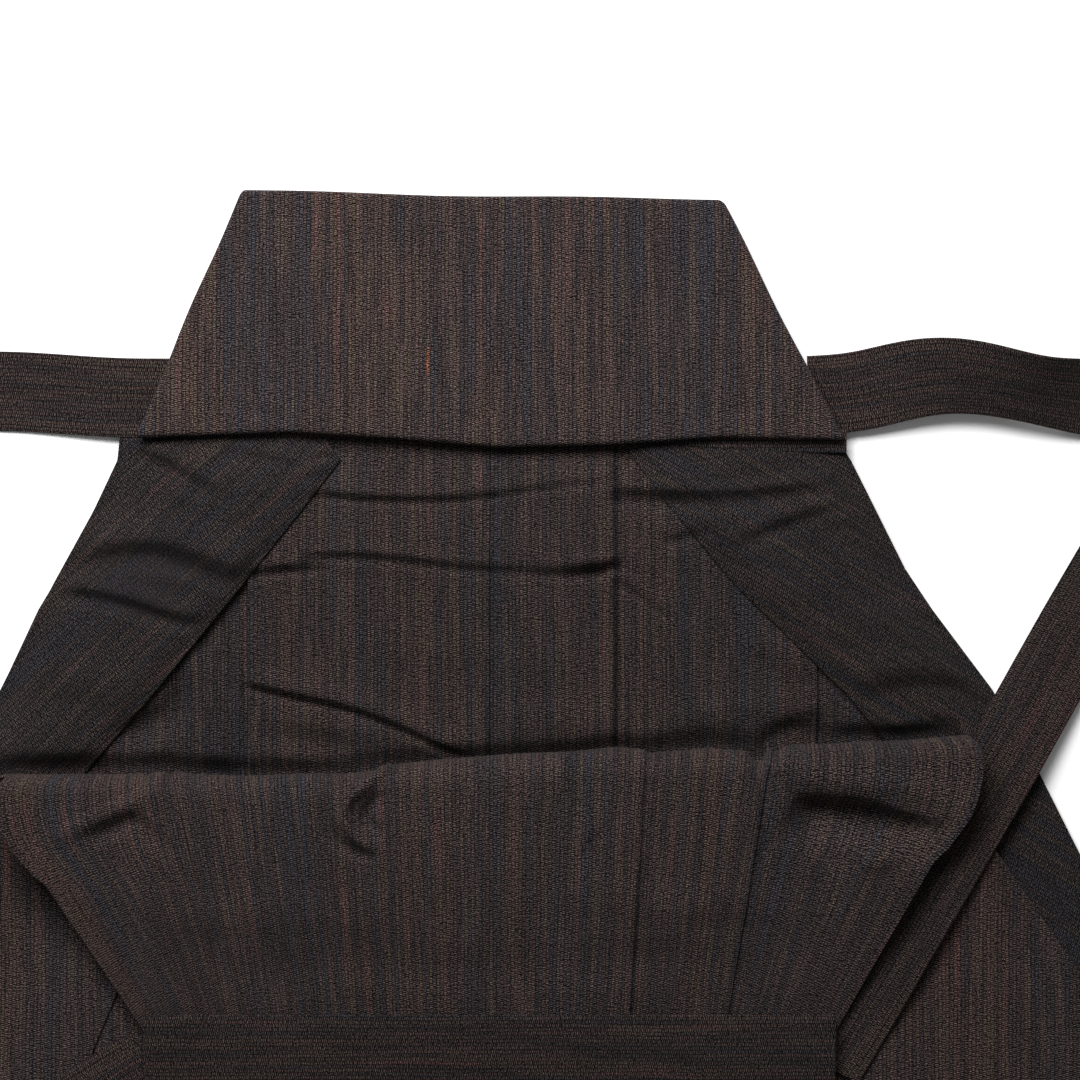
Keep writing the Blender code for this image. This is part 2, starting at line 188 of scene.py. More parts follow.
# Soft creases across the upper back. A point is (x, y, strength); above and below are the widths
# of the crease's two sides, so that a short one makes a sharp step.
BACK_FOLDS = (
    # the long ridge under the board, with its broken lower lip
    Fold(2.0, 22, 12, ((-108, -46, 0), (-95, -47, 0.5), (-70, -44, 0.8), (-40, -44, 1), (0, -46, 1),
                       (28, -46.5, 1), (49, -44.5, 1), (80, -45, 0.4), (104, -46, 0))),
    Fold(1.0, 4, 4.0, ((-97, -54, 0), (-92, -50.5, 1), (-80, -49, 1), (-68, -49, 0.8), (-62, -49, 0))),
    Fold(1.0, 4, 4.0, ((-80, -46, 0), (-71, -44.5, 0.8), (-55, -44, 1), (-33, -46, 0.9), (-12, -49, 0.6),
                       (5, -50, 0.4), (14, -50, 0))),
    Fold(1.6, 5, 4.5, ((14, -50, 0), (30, -50, 0.7), (44, -48, 1), (50, -47, 1), (54, -47, 0))),
    # the crease close under the board
    Fold(1.5, 7, 3.6, ((-76, -19, 0), (-68, -20.5, 1), (-52, -22.3, 1), (-22, -23, 0.9), (2, -21, 0.7),
                       (21, -17.8, 0.7), (40, -15.8, 0.6), (50, -14.4, 0.4), (56, -13, 0))),
    Fold(2.2, 8, 4.8, ((46, -21, 0), (51, -21, 1), (62, -22, 1), (74, -22.5, 1), (93, -24, 1),
                       (110, -21.5, 0.9), (134, -18.5, 0.8), (150, -20, 0.4), (156, -20, 0))),
    # diagonal crease low on the left of the centre widths
    Fold(1.9, 9, 3.6, ((-101, -96, 0), (-94, -97.5, 1), (-76, -101.6, 1), (-57, -105.8, 1),
                       (-38.5, -112.5, 1), (-17, -123, 0.9), (0, -130, 0))),
    Fold(1.1, 9, 9, ((-98, -108, 0), (-82, -112, 0.7), (-60, -116, 1), (-46, -122, 0))),
    Fold(0.7, 12, 10, ((-95, -74, 0), (-60, -80, 0.7), (-20, -84, 1), (20, -88, 0.8), (46, -92, 0))),
    Fold(1.2, 13, 9, ((-14, -112, 0), (10, -113, 1), (30, -113, 1), (49, -112, 0.7), (58, -110, 0))),
    # the bulge of the left side between the flap and the centre widths
    Fold(2.6, 6, 13, ((-122, -80, 0), (-118, -88, 0.6), (-112, -100, 1), (-109, -114, 1),
                      (-108, -128, 0.8), (-108, -136, 0))),
    # short creases on the right pleat
    Fold(1.4, 6, 3.6, ((46, -53, 0), (51, -55, 1), (60, -61, 0.9), (67, -67, 0.5), (74, -71, 0))),
    Fold(1.3, 7, 6, ((60, -32, 0), (68, -35, 0.9), (80, -36, 1), (92, -38, 0))),
    Fold(1.3, 10, 8, ((96, -78, 0), (108, -82, 1), (120, -87, 1), (133, -94, 0.6), (140, -98, 0))),
    Fold(1.2, 10, 8, ((60, -112, 0), (84, -110, 0.8), (108, -107, 1), (132, -106, 0.8), (142, -106, 0))),
)
# Hollows across the upper back
BACK_HOLLOWS = (
    Fold(-2.4, 3.0, 2.8, ((-72, -21.5, 0), (-66, -22.6, 1), (-52, -24.3, 1), (-22, -25, 1), (2, -23, 0.8),
                          (21, -19.8, 0.7), (40, -17.6, 0.5), (50, -16.3, 0.3), (54, -16, 0))),
    Fold(-3.8, 5.5, 6.0, ((47, -22, 0), (51, -22.5, 1), (60, -23.5, 1), (72, -24, 1), (93.5, -24.5, 1),
                          (110, -22.5, 1), (134, -20.5, 1), (148, -21, 0.5), (156, -21, 0))),
    # the turned edge of the centre widths
    Fold(0.9, 1.6, 1.6, ((48.4, -8, 0), (48.4, -14, 1), (48.4, -110, 1), (48.4, -122, 0))),
    Fold(-1.7, 1.7, 1.7, ((51.7, -8, 0), (51.7, -14, 1), (51.7, -112, 1), (51.7, -124, 0))),
    Fold(-0.9, 1.5, 1.5, ((2, -8, 0), (2, -14, 1), (2, -110, 1), (2, -124, 0))),
    Fold(-2.2, 3.0, 3.2, ((-98, -55, 0), (-92, -53.4, 1), (-80, -52.3, 1), (-68, -51.8, 0.8),
                          (-60, -51.5, 0))),
    Fold(-2.0, 3.0, 4.0, ((-78, -49, 0), (-71, -47.5, 0.8), (-55, -46.8, 1), (-33, -48.8, 0.9),
                          (-12, -51.8, 0.7), (5, -52.8, 0.6), (26, -54, 0.6), (40, -53, 0.8), (48, -51.5, 1),
                          (52, -50, 0))),
    Fold(-1.6, 4.0, 5.0, ((28, -54, 0), (38, -53, 1), (46, -51.5, 1), (51, -50, 0.6), (56, -48, 0))),
    Fold(-2.8, 2.6, 2.8, ((-99, -98.5, 0), (-94, -99.7, 1), (-76, -103.8, 1), (-57, -107.8, 1),
                          (-38.5, -114.5, 1), (-17, -124.8, 1), (-6, -129, 0))),
    Fold(-3.0, 8, 10, ((-152, -122, 0), (-140, -116, 1), (-128, -110, 1), (-122, -100, 0.5), (-120, -92, 0))),
    Fold(-2.4, 2.4, 2.4, ((-98.5, -84, 0), (-98.5, -98, 1), (-98.5, -122, 1), (-98.5, -132, 0.6))),
    Fold(-2.0, 7, 8, ((102, -122, 0), (116, -117, 1), (128, -114, 1), (136, -112, 0.5), (142, -110, 0))),
    Fold(-1.5, 4, 4, ((68, -43, 0), (76, -40, 1), (84, -38, 0.8), (92, -37, 0))),
    Fold(-1.7, 3, 3, ((48, -55, 0), (52, -57, 1), (60, -63, 1), (67, -69, 0.6), (74, -73, 0))),
    Fold(-1.6, 8, 9, ((-92, -116, 0), (-80, -119, 1), (-64, -122, 1), (-46, -125, 0.6), (-36, -128, 0))),
)
# Hollows in the flaps alone
FLAP_HOLLOWS = (
    Fold(-3.4, 5, 6.5, ((-150, -1, 0), (-141, -5, 1), (-128, -12, 1), (-117, -18.5, 1), (-106, -23, 0))),
    Fold(-1.9, 4, 4, ((-123, 1, 0), (-117, -1.4, 0.8), (-100, -6, 1), (-82, -9.5, 0.8), (-74, -11, 0))),
    Fold(-3.2, 8, 7, ((-180, -53, 0), (-168, -50, 1), (-138, -45.5, 1), (-122, -49, 1), (-100.5, -59, 0.8),
                      (-92, -64, 0))),
    Fold(-2.9, 4.5, 5, ((-188, -59, 0), (-178.6, -60.7, 1), (-149, -64.9, 1), (-130, -71.6, 1),
                        (-117, -74.5, 0.7), (-108, -77, 0))),
    Fold(-2.2, 4.5, 5, ((96, -45, 0), (107, -39, 0.8), (120, -34, 1), (139, -27, 0.8), (150, -25, 0))),
    Fold(-2.0, 8, 6, ((80, -32, 0), (86, -38, 0.7), (98, -50, 1), (108, -60, 0.6), (116, -66, 0))),
    Fold(-3.6, 14, 14, ((140, -110, 0), (154, -106, 0.7), (172, -103, 1), (192, -108, 1), (206, -118, 0))),
    Fold(-1.8, 7, 6, ((84, -14, 0), (98, -15, 0.7), (116, -12, 1), (132, -9, 0.8), (142, -8, 0))),
)
# Creases in the flaps alone
FLAP_FOLDS = (
    Fold(2.3, 10, 7, ((-148, -1, 0), (-140, -3, 0.8), (-128, -9, 1), (-117, -15.5, 1), (-106, -20, 0))),
    Fold(1.6, 8, 6, ((-124, 1, 0), (-117, 0, 0.7), (-100, -4, 1), (-82, -8, 0.8), (-72, -10, 0))),
    Fold(3.6, 16, 11, ((-180, -48, 0), (-168, -45, 0.8), (-138, -39, 1), (-122, -43, 1), (-100, -53, 0.8),
                       (-90, -60, 0))),
    Fold(2.4, 9, 7, ((-190, -58, 0), (-178, -58, 0.9), (-149, -61.5, 1), (-130, -68, 0.9), (-117, -71, 0.6),
                     (-106, -74, 0))),
    Fold(1.8, 12, 12, ((-200, -90, 0), (-180, -93, 0.9), (-160, -96, 1), (-144, -104, 0.5), (-138, -108, 0))),
    Fold(1.0, 6, 5, ((60, -10, 0), (76, -14, 0.8), (100, -12, 1), (124, -10, 0.8), (142, -9, 0))),
    Fold(2.2, 9, 8, ((92, -42, 0), (107, -36, 0.7), (120, -31, 1), (139, -26, 1), (152, -28, 0))),
    Fold(1.8, 13, 12, ((78, -34, 0), (90, -44, 0.9), (106, -56, 1), (126, -60, 0.6), (142, -58, 0))),
    Fold(1.2, 12, 10, ((112, -74, 0), (134, -76, 0.9), (160, -72, 0.8), (182, -72, 0))),
    Fold(2.2, 20, 16, ((134, -96, 0), (156, -92, 0.8), (176, -88, 1), (192, -86, 0.7), (202, -88, 0))),
)
# The puckered point of the left flap
FLAP_KNOT = (
    Fold(1.5, 3.0, 2.4, ((-78, -2, 0), (-70, -2.5, 1), (-64.5, -4, 1), (-61, -6.5, 0))),
    Fold(1.3, 2.6, 2.2, ((-82, -15, 0), (-72, -12.5, 1), (-66, -10.5, 0.8), (-62, -9, 0))),
    Fold(-1.6, 2.0, 2.0, ((-74, -8, 0), (-69, -7.6, 1), (-65, -7.4, 1), (-62, -7.2, 0))),
)
# Creases of the turned-down front, by their place as seen from above
ROLL_FOLDS = (
    # the curled pucker left of the middle pleat
    Fold(3.2, 2.8, 3.4, ((-40, -128, 0), (-43, -132.5, 0.8), (-50, -138, 1), (-56, -142.5, 1),
                         (-58, -149, 1), (-55.5, -155, 1), (-50, -160, 0.9), (-44, -164, 0))),
    Fold(-3.4, 4.5, 4.5, ((-42, -138, 0), (-45, -143, 0.9), (-49.5, -149, 1), (-47, -154, 0.9),
                          (-42, -159, 0))),
    Fold(-1.8, 3.4, 3.4, ((-66, -136, 0), (-65.5, -143, 0.9), (-66, -150, 1), (-62, -158, 1), (-55, -164, 1),
                          (-44, -166, 0))),
    # the two pressed lines on the left
    Fold(-1.0, 2.2, 2.2, ((-126, -126, 0), (-127.5, -133, 1), (-130, -142, 1), (-129, -156, 1),
                          (-127, -180, 0.7), (-122, -224, 0))),
    Fold(0.7, 2.0, 2.5, ((-131, -126, 0), (-133, -134, 1), (-134, -145, 1), (-133, -160, 0.8),
                         (-130, -190, 0))),
    Fold(-0.6, 2.0, 2.0, ((-137, -124, 0), (-137, -132, 1), (-137, -144, 1), (-138, -152, 0))),
    # the three-sided wrinkle
    Fold(2.0, 4, 7, ((-176, -160, 0), (-164, -154, 0.9), (-152, -148, 1), (-139, -142, 0.8),
                     (-132, -138, 0))),
    Fold(-2.4, 6, 6, ((-164, -160, 0), (-152, -156, 1), (-142, -151, 1), (-136, -156, 0.9), (-126, -166, 0))),
    # the seam and soft dents on the middle pleat
    Fold(-0.35, 1.2, 1.2, ((8.5, -124, 0.4), (8.5, -131, 1), (8.5, -170, 1), (7.6, -228, 0.6))),
    Fold(-0.7, 3.5, 3.5, ((34, -128, 0), (33, -134, 1), (34, -146, 0.9), (33, -156, 0.8), (32, -166, 0))),
    Fold(-0.6, 3, 3, ((45, -130, 0), (45, -137, 1), (45, -144, 0.5), (45, -150, 0))),
    Fold(-0.9, 4, 4, ((48, -150, 0), (44, -157, 1), (39, -163, 1), (34, -170, 0))),
    Fold(-0.5, 3, 3, ((-24, -151, 0), (-21, -152, 1), (-13, -152, 1), (-10, -151, 0))),
    # the valley between the two pleats on the right
    Fold(-1.6, 4.5, 4.5, ((106, -118, 0.6), (107, -127, 1), (108, -137, 0.9), (110, -150, 0.8),
                          (109, -168, 0.5), (105, -190, 0))),
    # the fold and hollow at the right-hand end
    Fold(1.8, 9, 7, ((112, -128, 0), (124, -133, 0.8), (140, -136, 1), (156, -137, 0.9), (172, -140, 0.7),
                     (186, -145, 0))),
    Fold(-8.5, 7, 17, ((119, -144, 0), (127, -147, 0.9), (134, -147, 1), (150, -149, 1), (162, -153, 0.9),
                       (174, -156, 0.4), (186, -156, 0))),
    Fold(-1.8, 8, 8, ((118, -152, 0), (128, -158, 1), (138, -166, 1), (148, -176, 0))),
    Fold(1.0, 7, 5, ((140, -172, 0), (152, -169, 1), (166, -164, 1), (178, -158, 0))),
    # slack in the hidden run down to the waistband
    Fold(0.9, 14, 10, ((-150, -186, 0), (-110, -192, 1), (-60, -188, 0.8), (-20, -194, 0))),
    Fold(0.9, 12, 10, ((20, -178, 0), (60, -186, 1), (100, -184, 0.8), (140, -192, 0))),
    Fold(-0.8, 12, 12, ((-120, -214, 0), (-70, -208, 1), (0, -212, 0.8), (70, -206, 1), (120, -212, 0))),
)
# Slack across the legs
LEG_FOLDS = (
    Fold(0.5, 30, 22, ((-330, -330, 0), (-200, -344, 1), (-40, -336, 0.7), (120, -350, 1), (330, -338, 0))),
    Fold(0.4, 26, 34, ((-330, -470, 0), (-160, -452, 0.8), (40, -476, 1), (200, -458, 0.6), (330, -470, 0))),
    Fold(0.5, 30, 24, ((-330, -640, 0), (-210, -622, 0.7), (-30, -650, 1), (170, -630, 1), (330, -644, 0))),
    Fold(0.35, 24, 30, ((-330, -770, 0), (-150, -784, 1), (60, -760, 0.8), (240, -778, 1), (330, -768, 0))),
)

CREST_LINE = (
    (-210, -131), (-182, -131), (-152, -131), (-130, -130), (-118, -132), (-99, -133), (-80, -132.6),
    (-58, -132), (-40.5, -130), (-15, -127.5), (7.5, -126), (34, -124.6), (50, -123), (61, -124),
    (86, -122), (101, -123), (106.6, -126), (112, -122.4), (119, -119.5), (133, -119), (145, -117.7),
    (160, -117.3), (173, -116.3), (184, -115.6), (188, -117), (190, -120), (192, -126),
)
TURN_TOP = ((22, 20.8), (40, 19.6), (60, 17.0), (84, 13.0), (TURN_DEPTH, 8.7))
CORE_BACK = (4.5, 12.0, 24.0, 44.0, 70.0, 104.0)
# The turned-down front's slanted end: distance behind the crest, and distance from the middle
ROLL_END = ((0, 192), (5, 195), (11, 196), (17, 195.7), (24, 194), (31, 191), (36, 187), (42, 182),
            (47, 176), (78, 156), (TURN_DEPTH, 137))
LEG_STATIONS = (TURN_JOIN, SIDE_SEAM_TOP, FRONT_HEM)
FRONT_STRIPS = (
    Strip("1", 2, ((-203, -118), (-292, -182), (-326, -207)), -200, -118),
    Strip("2", 1, ((-126, -33), (-190, -54), (-215, -70)), -126, -33),
    Strip("3", 0, ((-41, 62), (-62, 72), (-78, 82)), -41, 62),
    Strip("4", 1, ((54, 112), (64, 168), (74, 220)), 54, 112),
    Strip("5", 2, ((105, 190), (160, 297), (212, 326)), 105, 186),
)
SINK_EDGE = 12.0
SINK_WIDTH = 36.0
SINK_TO_FLAPS = 4.0
SINK_TO_BACKS = 1.5

FRONT_BAND_HALF = 138.0
FRONT_BAND_ROWS = ((-229, 16.5), (-243, 14.6), (-253, 12.6), (-263, 10.6))
BACK_BAND_EDGE = ((-140, 1), (60, 1), (70, -1.5), (112, -5), (143, -5))

BOARD_EDGE = ((-142, 1), (-81, 3), (-38, 0.5), (3, -3), (49, -2), (92, 1), (142, 0))
BOARD_BOTTOM_HALF = 142.0
BOARD_TOP_LEFT = (-100.0, 100.8)
BOARD_TOP_RIGHT = (93.6, 97.2)
BOARD_THICKNESS = 4.5
BOARD_LENGTH = 100.0
BOARD_CORNER = 2.4

BACK_TIE_WIDTH = 32.0
FRONT_TIE_WIDTH = 31.0
TIE_FOLD_RISE = 1.8
TIE_FOLD_STEPS = 8
TIE_SMOOTHING = 14

# Routes of the ties: middle line, height of the underside, sideways lean and whether it folds back
BACK_TIE_LEFT = (
    Way(-128, 17, 2.8, 0, False),
    Way(-150, 17, 2.5, 0, False),
    Way(-170, 18.5, 1.0, 0, False),
    Way(-190, 20, 0, 0, False),
    Way(-240, 20, 0, 0, False),
    Way(-395, 23, 0, 0, True),
    Way(-228, 21, 1.8, 0, True),
    Way(-392, 26, 3.6, 0, True),
    Way(-292, 23, 5.4, 0, False),
)
BACK_TIE_RIGHT = (
    Way(128, 18, 2.8, 0, False),
    Way(148, 19, 3.2, 0, False),
    Way(161, 23, 5.0, 0, False),
    Way(176, 26, 6.5, 10, False),
    Way(190, 26, 6.5, 22, False),
    Way(204, 23, 6.2, 34, False),
    Way(218, 19.5, 6.5, 38, False),
    Way(240, 17, 2.5, 15, False),
    Way(262, 16, 0, 0, False),
    Way(395, 12, 0, 0, True),
    Way(256, 17, 1.8, 0, True),
    Way(392, 9, 3.6, 0, True),
    Way(270, 14, 5.4, 0, False),
)
FRONT_TIE_RIGHT = (
    Way(134, -250, 8.7, 0, False),
    Way(150, -223, 8.7, 0, False),
    Way(165, -197, 8.7, 0, False),
    Way(184.8, -163, 8.7, 0, False),
    Way(203.5, -131, 8.2, 0, False),
    Way(222, -99, 4.4, 0, False),
    Way(236, -75, 1.2, 0, False),
    Way(262, -31, 0, 0, True),
    Way(276, -85, 0, 0, False),
    Way(340, -330, 0, 0, False),
    Way(362, -450, 0, 0, False),
    Way(374, -600, 0, 0, False),
    Way(377, -838, 0, 0, True),
    Way(368, -600, 1.8, 0, False),
    Way(354, -440, 1.8, 0, False),
    Way(334, -318, 1.8, 0, False),
)
FRONT_TIE_LEFT = (
    Way(-136, -250, 8.7, 0, False),
    Way(-170, -271, 8.7, 0, False),
    Way(-205, -292, 8.7, 0, False),
    Way(-240, -313, 6.8, 0, False),
    Way(-272, -333, 4.8, 0, False),
    Way(-302, -355, 4.2, 0, False),
    Way(-328, -380, 3.2, 0, False),
    Way(-350, -412, 1.0, 0, False),
    Way(-365, -455, 0, 0, False),
    Way(-374, -520, 0, 0, False),
    Way(-379, -840, 0, 0, True),
    Way(-368, -500, 1.8, 0, False),
    Way(-350, -370, 1.8, 0, False),
    Way(-314, -240, 1.8, 0, True),
    Way(-348, -368, 3.6, 0, False),
    Way(-364, -478, 3.6, 0, False),
)

# Distance between the points at which a row of stitches is laid on the cloth
STITCH_RUN_STEP = 4.0
# Where stitches show: short tacks on the board, and the blind rows of the hems and the waistband
STITCH_RUNS = (
    Run("koshi_ita_cover", ((-94.5, 11.5), (-91.5, 10.5))),
    Run("koshi_ita_cover", ((-87.5, 9), (-83.5, 8.2))),
    Run("koshi_ita_cover", ((-9, 8.5), (-5.5, 8.8))),
    Run("koshi_ita_cover", ((14.5, 9.5), (18, 8.8))),
    Run("koshi_ita_cover", ((92, 10.5), (95, 10))),
    Run("koshi_ita_cover", ((98, 12), (101, 11.5))),
    Run("back_flap_left_cloth", ((-66, -7.5), (-63, -7.4))),
    Run("front_waist_band_cloth", ((-136, -260.5), (136, -260.5))),
    Run("back_left_cloth", ((-326, -868), (-4, -868))),
    Run("back_right_cloth", ((4, -868), (326, -868))),
    Run("front_leg_1_cloth", ((-322, -860), (-212, -860))),
    Run("front_leg_2_cloth", ((-210, -860), (-76, -860))),
    Run("front_leg_3_cloth", ((-74, -860), (78, -860))),
    Run("front_leg_4_cloth", ((84, -860), (214, -860))),
    Run("front_leg_5_cloth", ((222, -860), (320, -860))),
)


# Stage: what the camera looks at, in the tables' millimetres, then in metres the light's place from
# there and how far the floor stays clear of the cloth, and the lens's sensor
VIEW_CENTRE = (20.0, -40.0, 10.0)
KEY_PLACE = (-0.27, 0.74, 0.92)
FLOOR_DROP = 0.0004
SENSOR_WIDTH = 36.0


# ---------------------------------------------------------------- places and plain measures


def garment_origin():
    """Where the garment's own origin stands in the frame: its centre seam, at the board's lower edge."""
    left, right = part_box("back_left"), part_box("back_right")
    return np.array([(left[1].x + right[0].x) / 2, left[1].y - CENTRE_TOP * MM, 0.0])


ORIGIN = garment_origin()


def placed(points):
    """Points of the tables, in metres in the frame."""
    return np.asarray(points, float) * MM + ORIGIN


def smooth(share):
    """0 to 1 with soft ends."""
    share = np.clip(share, 0.0, 1.0)
    return share * share * (3 - 2 * share)


def line_at(table, where):
    """Height of a polyline of (x, y) points at x = where."""
    table = sorted(table)
    return np.interp(where, [point[0] for point in table], [point[1] for point in table])


def edges_at(sections, y):
    """Left and right edges of a table of sections at each y."""
    rows = sorted(sections)
    heights = [row.y for row in rows]
    left = np.interp(y, heights, [row.left for row in rows])
    return left, np.interp(y, heights, [row.right for row in rows])


def softened(points, rounds=2):
    """The polyline with its corners cut, its two ends kept."""
    points = np.asarray(points, float)
    for _ in range(rounds):
        ahead = points[:-1] * 0.75 + points[1:] * 0.25
        behind = points[:-1] * 0.25 + points[1:] * 0.75
        middle = np.stack([ahead, behind], axis=1).reshape(-1, points.shape[1])
        points = np.concatenate([points[:1], middle[1:-1], points[-1:]])
    return points


def fold_lift(fold, x, y):
    """How far one crease lifts the cloth at each place."""
    nearest = np.full(np.shape(x), 1e9)
    side = np.zeros(np.shape(x))
    strength = np.zeros(np.shape(x))
    points = softened(fold.points)
    for (x0, y0, s0), (x1, y1, s1) in zip(points, points[1:]):
        run_x, run_y = x1 - x0, y1 - y0
        share = ((x - x0) * run_x + (y - y0) * run_y) / (run_x * run_x + run_y * run_y)
        share = np.clip(share, 0.0, 1.0)
        away = np.hypot(x0 + share * run_x - x, y0 + share * run_y - y)
        nearer = away < nearest
        nearest = np.where(nearer, away, nearest)
        side = np.where(nearer, run_x * (y - y0) - run_y * (x - x0), side)
        strength = np.where(nearer, s0 + (s1 - s0) * share, strength)
    width = np.where(side > 0, fold.above, fold.below)
    return fold.height * strength * (1 - np.minimum(nearest / width, 1.0) ** 2) ** 2


def folds_lift(folds, x, y):
    lift = np.zeros(np.shape(x))
    for fold in folds:
        lift = lift + fold_lift(fold, x, y)
    return lift


def ripple(x, y, seed, size):
    """Uneven slack with no crease in it, from -1 to 1, the same for every layer."""
    lift = np.zeros(np.shape(x))
    for turn in range(4):
        angle = seed * 1.7 + turn * 2.399
        pitch = size * (0.75 + 0.21 * turn)
        wave = (x * math.cos(angle) + y * math.sin(angle)) / pitch
        lift = lift + np.sin(2 * math.pi * wave + seed + 1.3 * turn)
    return lift / 4


def roll_fall(x, y):
    """Share of the slack that is left where the cloth drops to pass under the roll."""
    width = ROLL_FALL * (1 + 0.35 * ripple(x, x * 0, 3.0, 60))
    return smooth((y - line_at(CREST_LINE, x) + 2) / width)


def back_lift(x, y):
    """How far the slack lifts every layer of the upper back, which all follow each other."""
    left, right = edges_at(BACK_OUTLINE, y)
    inside = smooth((x - left - 2) / 34) * smooth((right - 2 - x) / 34)
    belly = 0.7 + 5.0 * smooth((-2 - y) / 20) - 0.5 * smooth((-50 - y) / 40)
    belly = belly * roll_fall(x, y)
    creases = folds_lift(BACK_FOLDS, x, y) * roll_fall(x, y) * smooth((-2 - y) / 8)
    creases = creases + 1.3 * folds_lift(BACK_HOLLOWS, x, y)
    slack = 0.25 * ripple(x, y, 2.0, 64) * smooth((-8 - y) / 14) * smooth((y + 128) / 20)
    return np.maximum((belly + creases + slack) * inside, 0.0)


def flap_lift(x, y):
    """The flaps' own creases, over those of the layers under them."""
    inner = np.where(x < 0, edges_at(LEFT_FLAP, y)[1] - x, x - edges_at(RIGHT_FLAP, y)[0])
    outer = np.where(x < 0, x - edges_at(LEFT_FLAP, y)[0], edges_at(RIGHT_FLAP, y)[1] - x)
    inside = roll_fall(x, y) * smooth(inner / 13 + 0.08) * smooth(outer / 14)
    slack = 2.6 + 0.3 * ripple(x, y, 5.0, 47)
    creases = folds_lift(FLAP_FOLDS, x, y) + 1.35 * folds_lift(FLAP_HOLLOWS, x, y)
    lift = (creases + slack) * inside * smooth((2 - y) / 10 + 0.1)
    knot = folds_lift(FLAP_KNOT, x, y) * smooth((-2 - y) / 3 + 0.2)
    return np.maximum(lift + knot, 0.0)


def roll_lift(x, y, shown):
    """The turned-down front's creases, outwards from it, where the roll looks up."""
    slack = 0.45 * ripple(x, y * 0.6, 1.0, 58) + 0.25 * ripple(x, y, 3.0, 31)
    return (1.3 * folds_lift(ROLL_FOLDS, x, y) + slack) * shown


def waist_share(x, back):
    """How much nearer to the middle the turned-down front is, this far behind its crest."""
    pull = 0.08 + 0.24 * (x / ROLL_HALF_WIDTH) ** 2
    return 1 - pull * back / TURN_DEPTH


# ---------------------------------------------------------------- meshes


def spread(low, high, step, rim):
    """Places from one edge to the other, close together where the edge is rounded."""
    count = max(int(round((high - low - 2 * rim) / step)), 1)
    inner = np.linspace(low + rim, high - rim, count + 1)
    return np.concatenate([low + rim * RIM_STEPS, inner, high - (rim * RIM_STEPS)[::-1]])


def spread_rows(left, right, columns, rim):
    """The same between two edges that change from row to row."""
    share = np.linspace(0.0, 1.0, columns)
    left, right = np.asarray(left)[:, None], np.asarray(right)[:, None]
    inner = left + rim + (right - left - 2 * rim) * share
    return np.concatenate([left + rim * RIM_STEPS, inner, right - (rim * RIM_STEPS)[::-1]], axis=1)


def rounding(away, rim):
    """Share of the wall's thickness at each distance from its edge."""
    return np.sqrt(np.maximum(1 - (1 - np.clip(away / rim, 0.0, 1.0)) ** 2, 0.0))


def normals_of(grid):
    """Unit normals of a grid of points, upwards for a flat one whose rows run down and columns right."""
    down, right = np.gradient(grid, axis=0), np.gradient(grid, axis=1)
    normal = np.cross(right, -down)
    return normal / np.maximum(np.linalg.norm(normal, axis=2, keepdims=True), 1e-9)


def upwards(grid):
    """A normal of straight up for each point of a grid."""
    up = np.zeros_like(grid)
    up[..., 2] = 1.0
    return up


def shell(name, grid, normal, thickness, chart, material):
    """A closed skin about a grid of points, with its chart, in metres, as the UV map."""
    rows, columns = grid.shape[:2]
    inner = np.zeros((rows, columns), bool)
    inner[1:-1, 1:-1] = True
    half = normal * (thickness / 2)[..., None]
    upper = np.arange(rows * columns).reshape(rows, columns)
    lower = upper.copy()
    lower[inner] = rows * columns + np.arange(int(inner.sum()))
    points = np.concatenate([(grid + half * inner[..., None]).reshape(-1, 3), (grid - half)[inner]])

    def quads(index):
        return np.stack([index[:-1, :-1], index[1:, :-1], index[1:, 1:], index[:-1, 1:]], axis=-1)

    faces = np.concatenate([quads(upper).reshape(-1, 4), quads(lower)[..., ::-1].reshape(-1, 4)])
    if (normals_of(grid) * normal).sum() < 0:
        faces = faces[:, ::-1]
    charts = np.concatenate([chart.reshape(-1, 2), chart[inner]])
    return mesh_object(name, placed(points), faces, charts[faces.reshape(-1)], material)


def mesh_object(name, points, faces, chart, material):
    """An object from points in metres, four-sided faces and one chart place for each corner."""
    mesh = bpy.data.meshes.new(name)
    mesh.vertices.add(len(points))
    mesh.vertices.foreach_set("co", np.asarray(points, np.float32).reshape(-1))
    mesh.loops.add(faces.size)
    mesh.loops.foreach_set("vertex_index", faces.astype(np.int32).reshape(-1))
    mesh.polygons.add(len(faces))
    mesh.polygons.foreach_set("loop_start", np.arange(0, faces.size, 4, dtype=np.int32))
    mesh.uv_layers.new(name=CHART)
    mesh.uv_layers[CHART].data.foreach_set("uv", np.asarray(chart, np.float32).reshape(-1))
    mesh.update(calc_edges=True)
    mesh.shade_smooth()
    mesh.validate()
    mesh.materials.append(material)
    piece = bpy.data.objects.new(name, mesh)
    bpy.context.scene.collection.objects.link(piece)
    return piece


def turned_chart(x, y, degrees):
    """Chart of a flat piece whose warp runs at this angle from +X: 90 for straight up it."""
    angle = math.radians(degrees)
    along = x * math.cos(angle) + y * math.sin(angle)
    across = x * math.sin(angle) - y * math.cos(angle)
    return np.stack([across, along], axis=-1) * MM


def rows_between(top, end, fine_end, fine, coarse, rim):
    """Rows from a piece's top to its end: fine where it is seen close to, coarser below."""
    places = spread(end, top, fine, rim)
    keep = (places > fine_end) | (places < end + 1.01 * rim)
    rest = np.arange(end + rim + coarse, fine_end, coarse)
    return np.sort(np.concatenate([places[keep], rest]))[::-1]


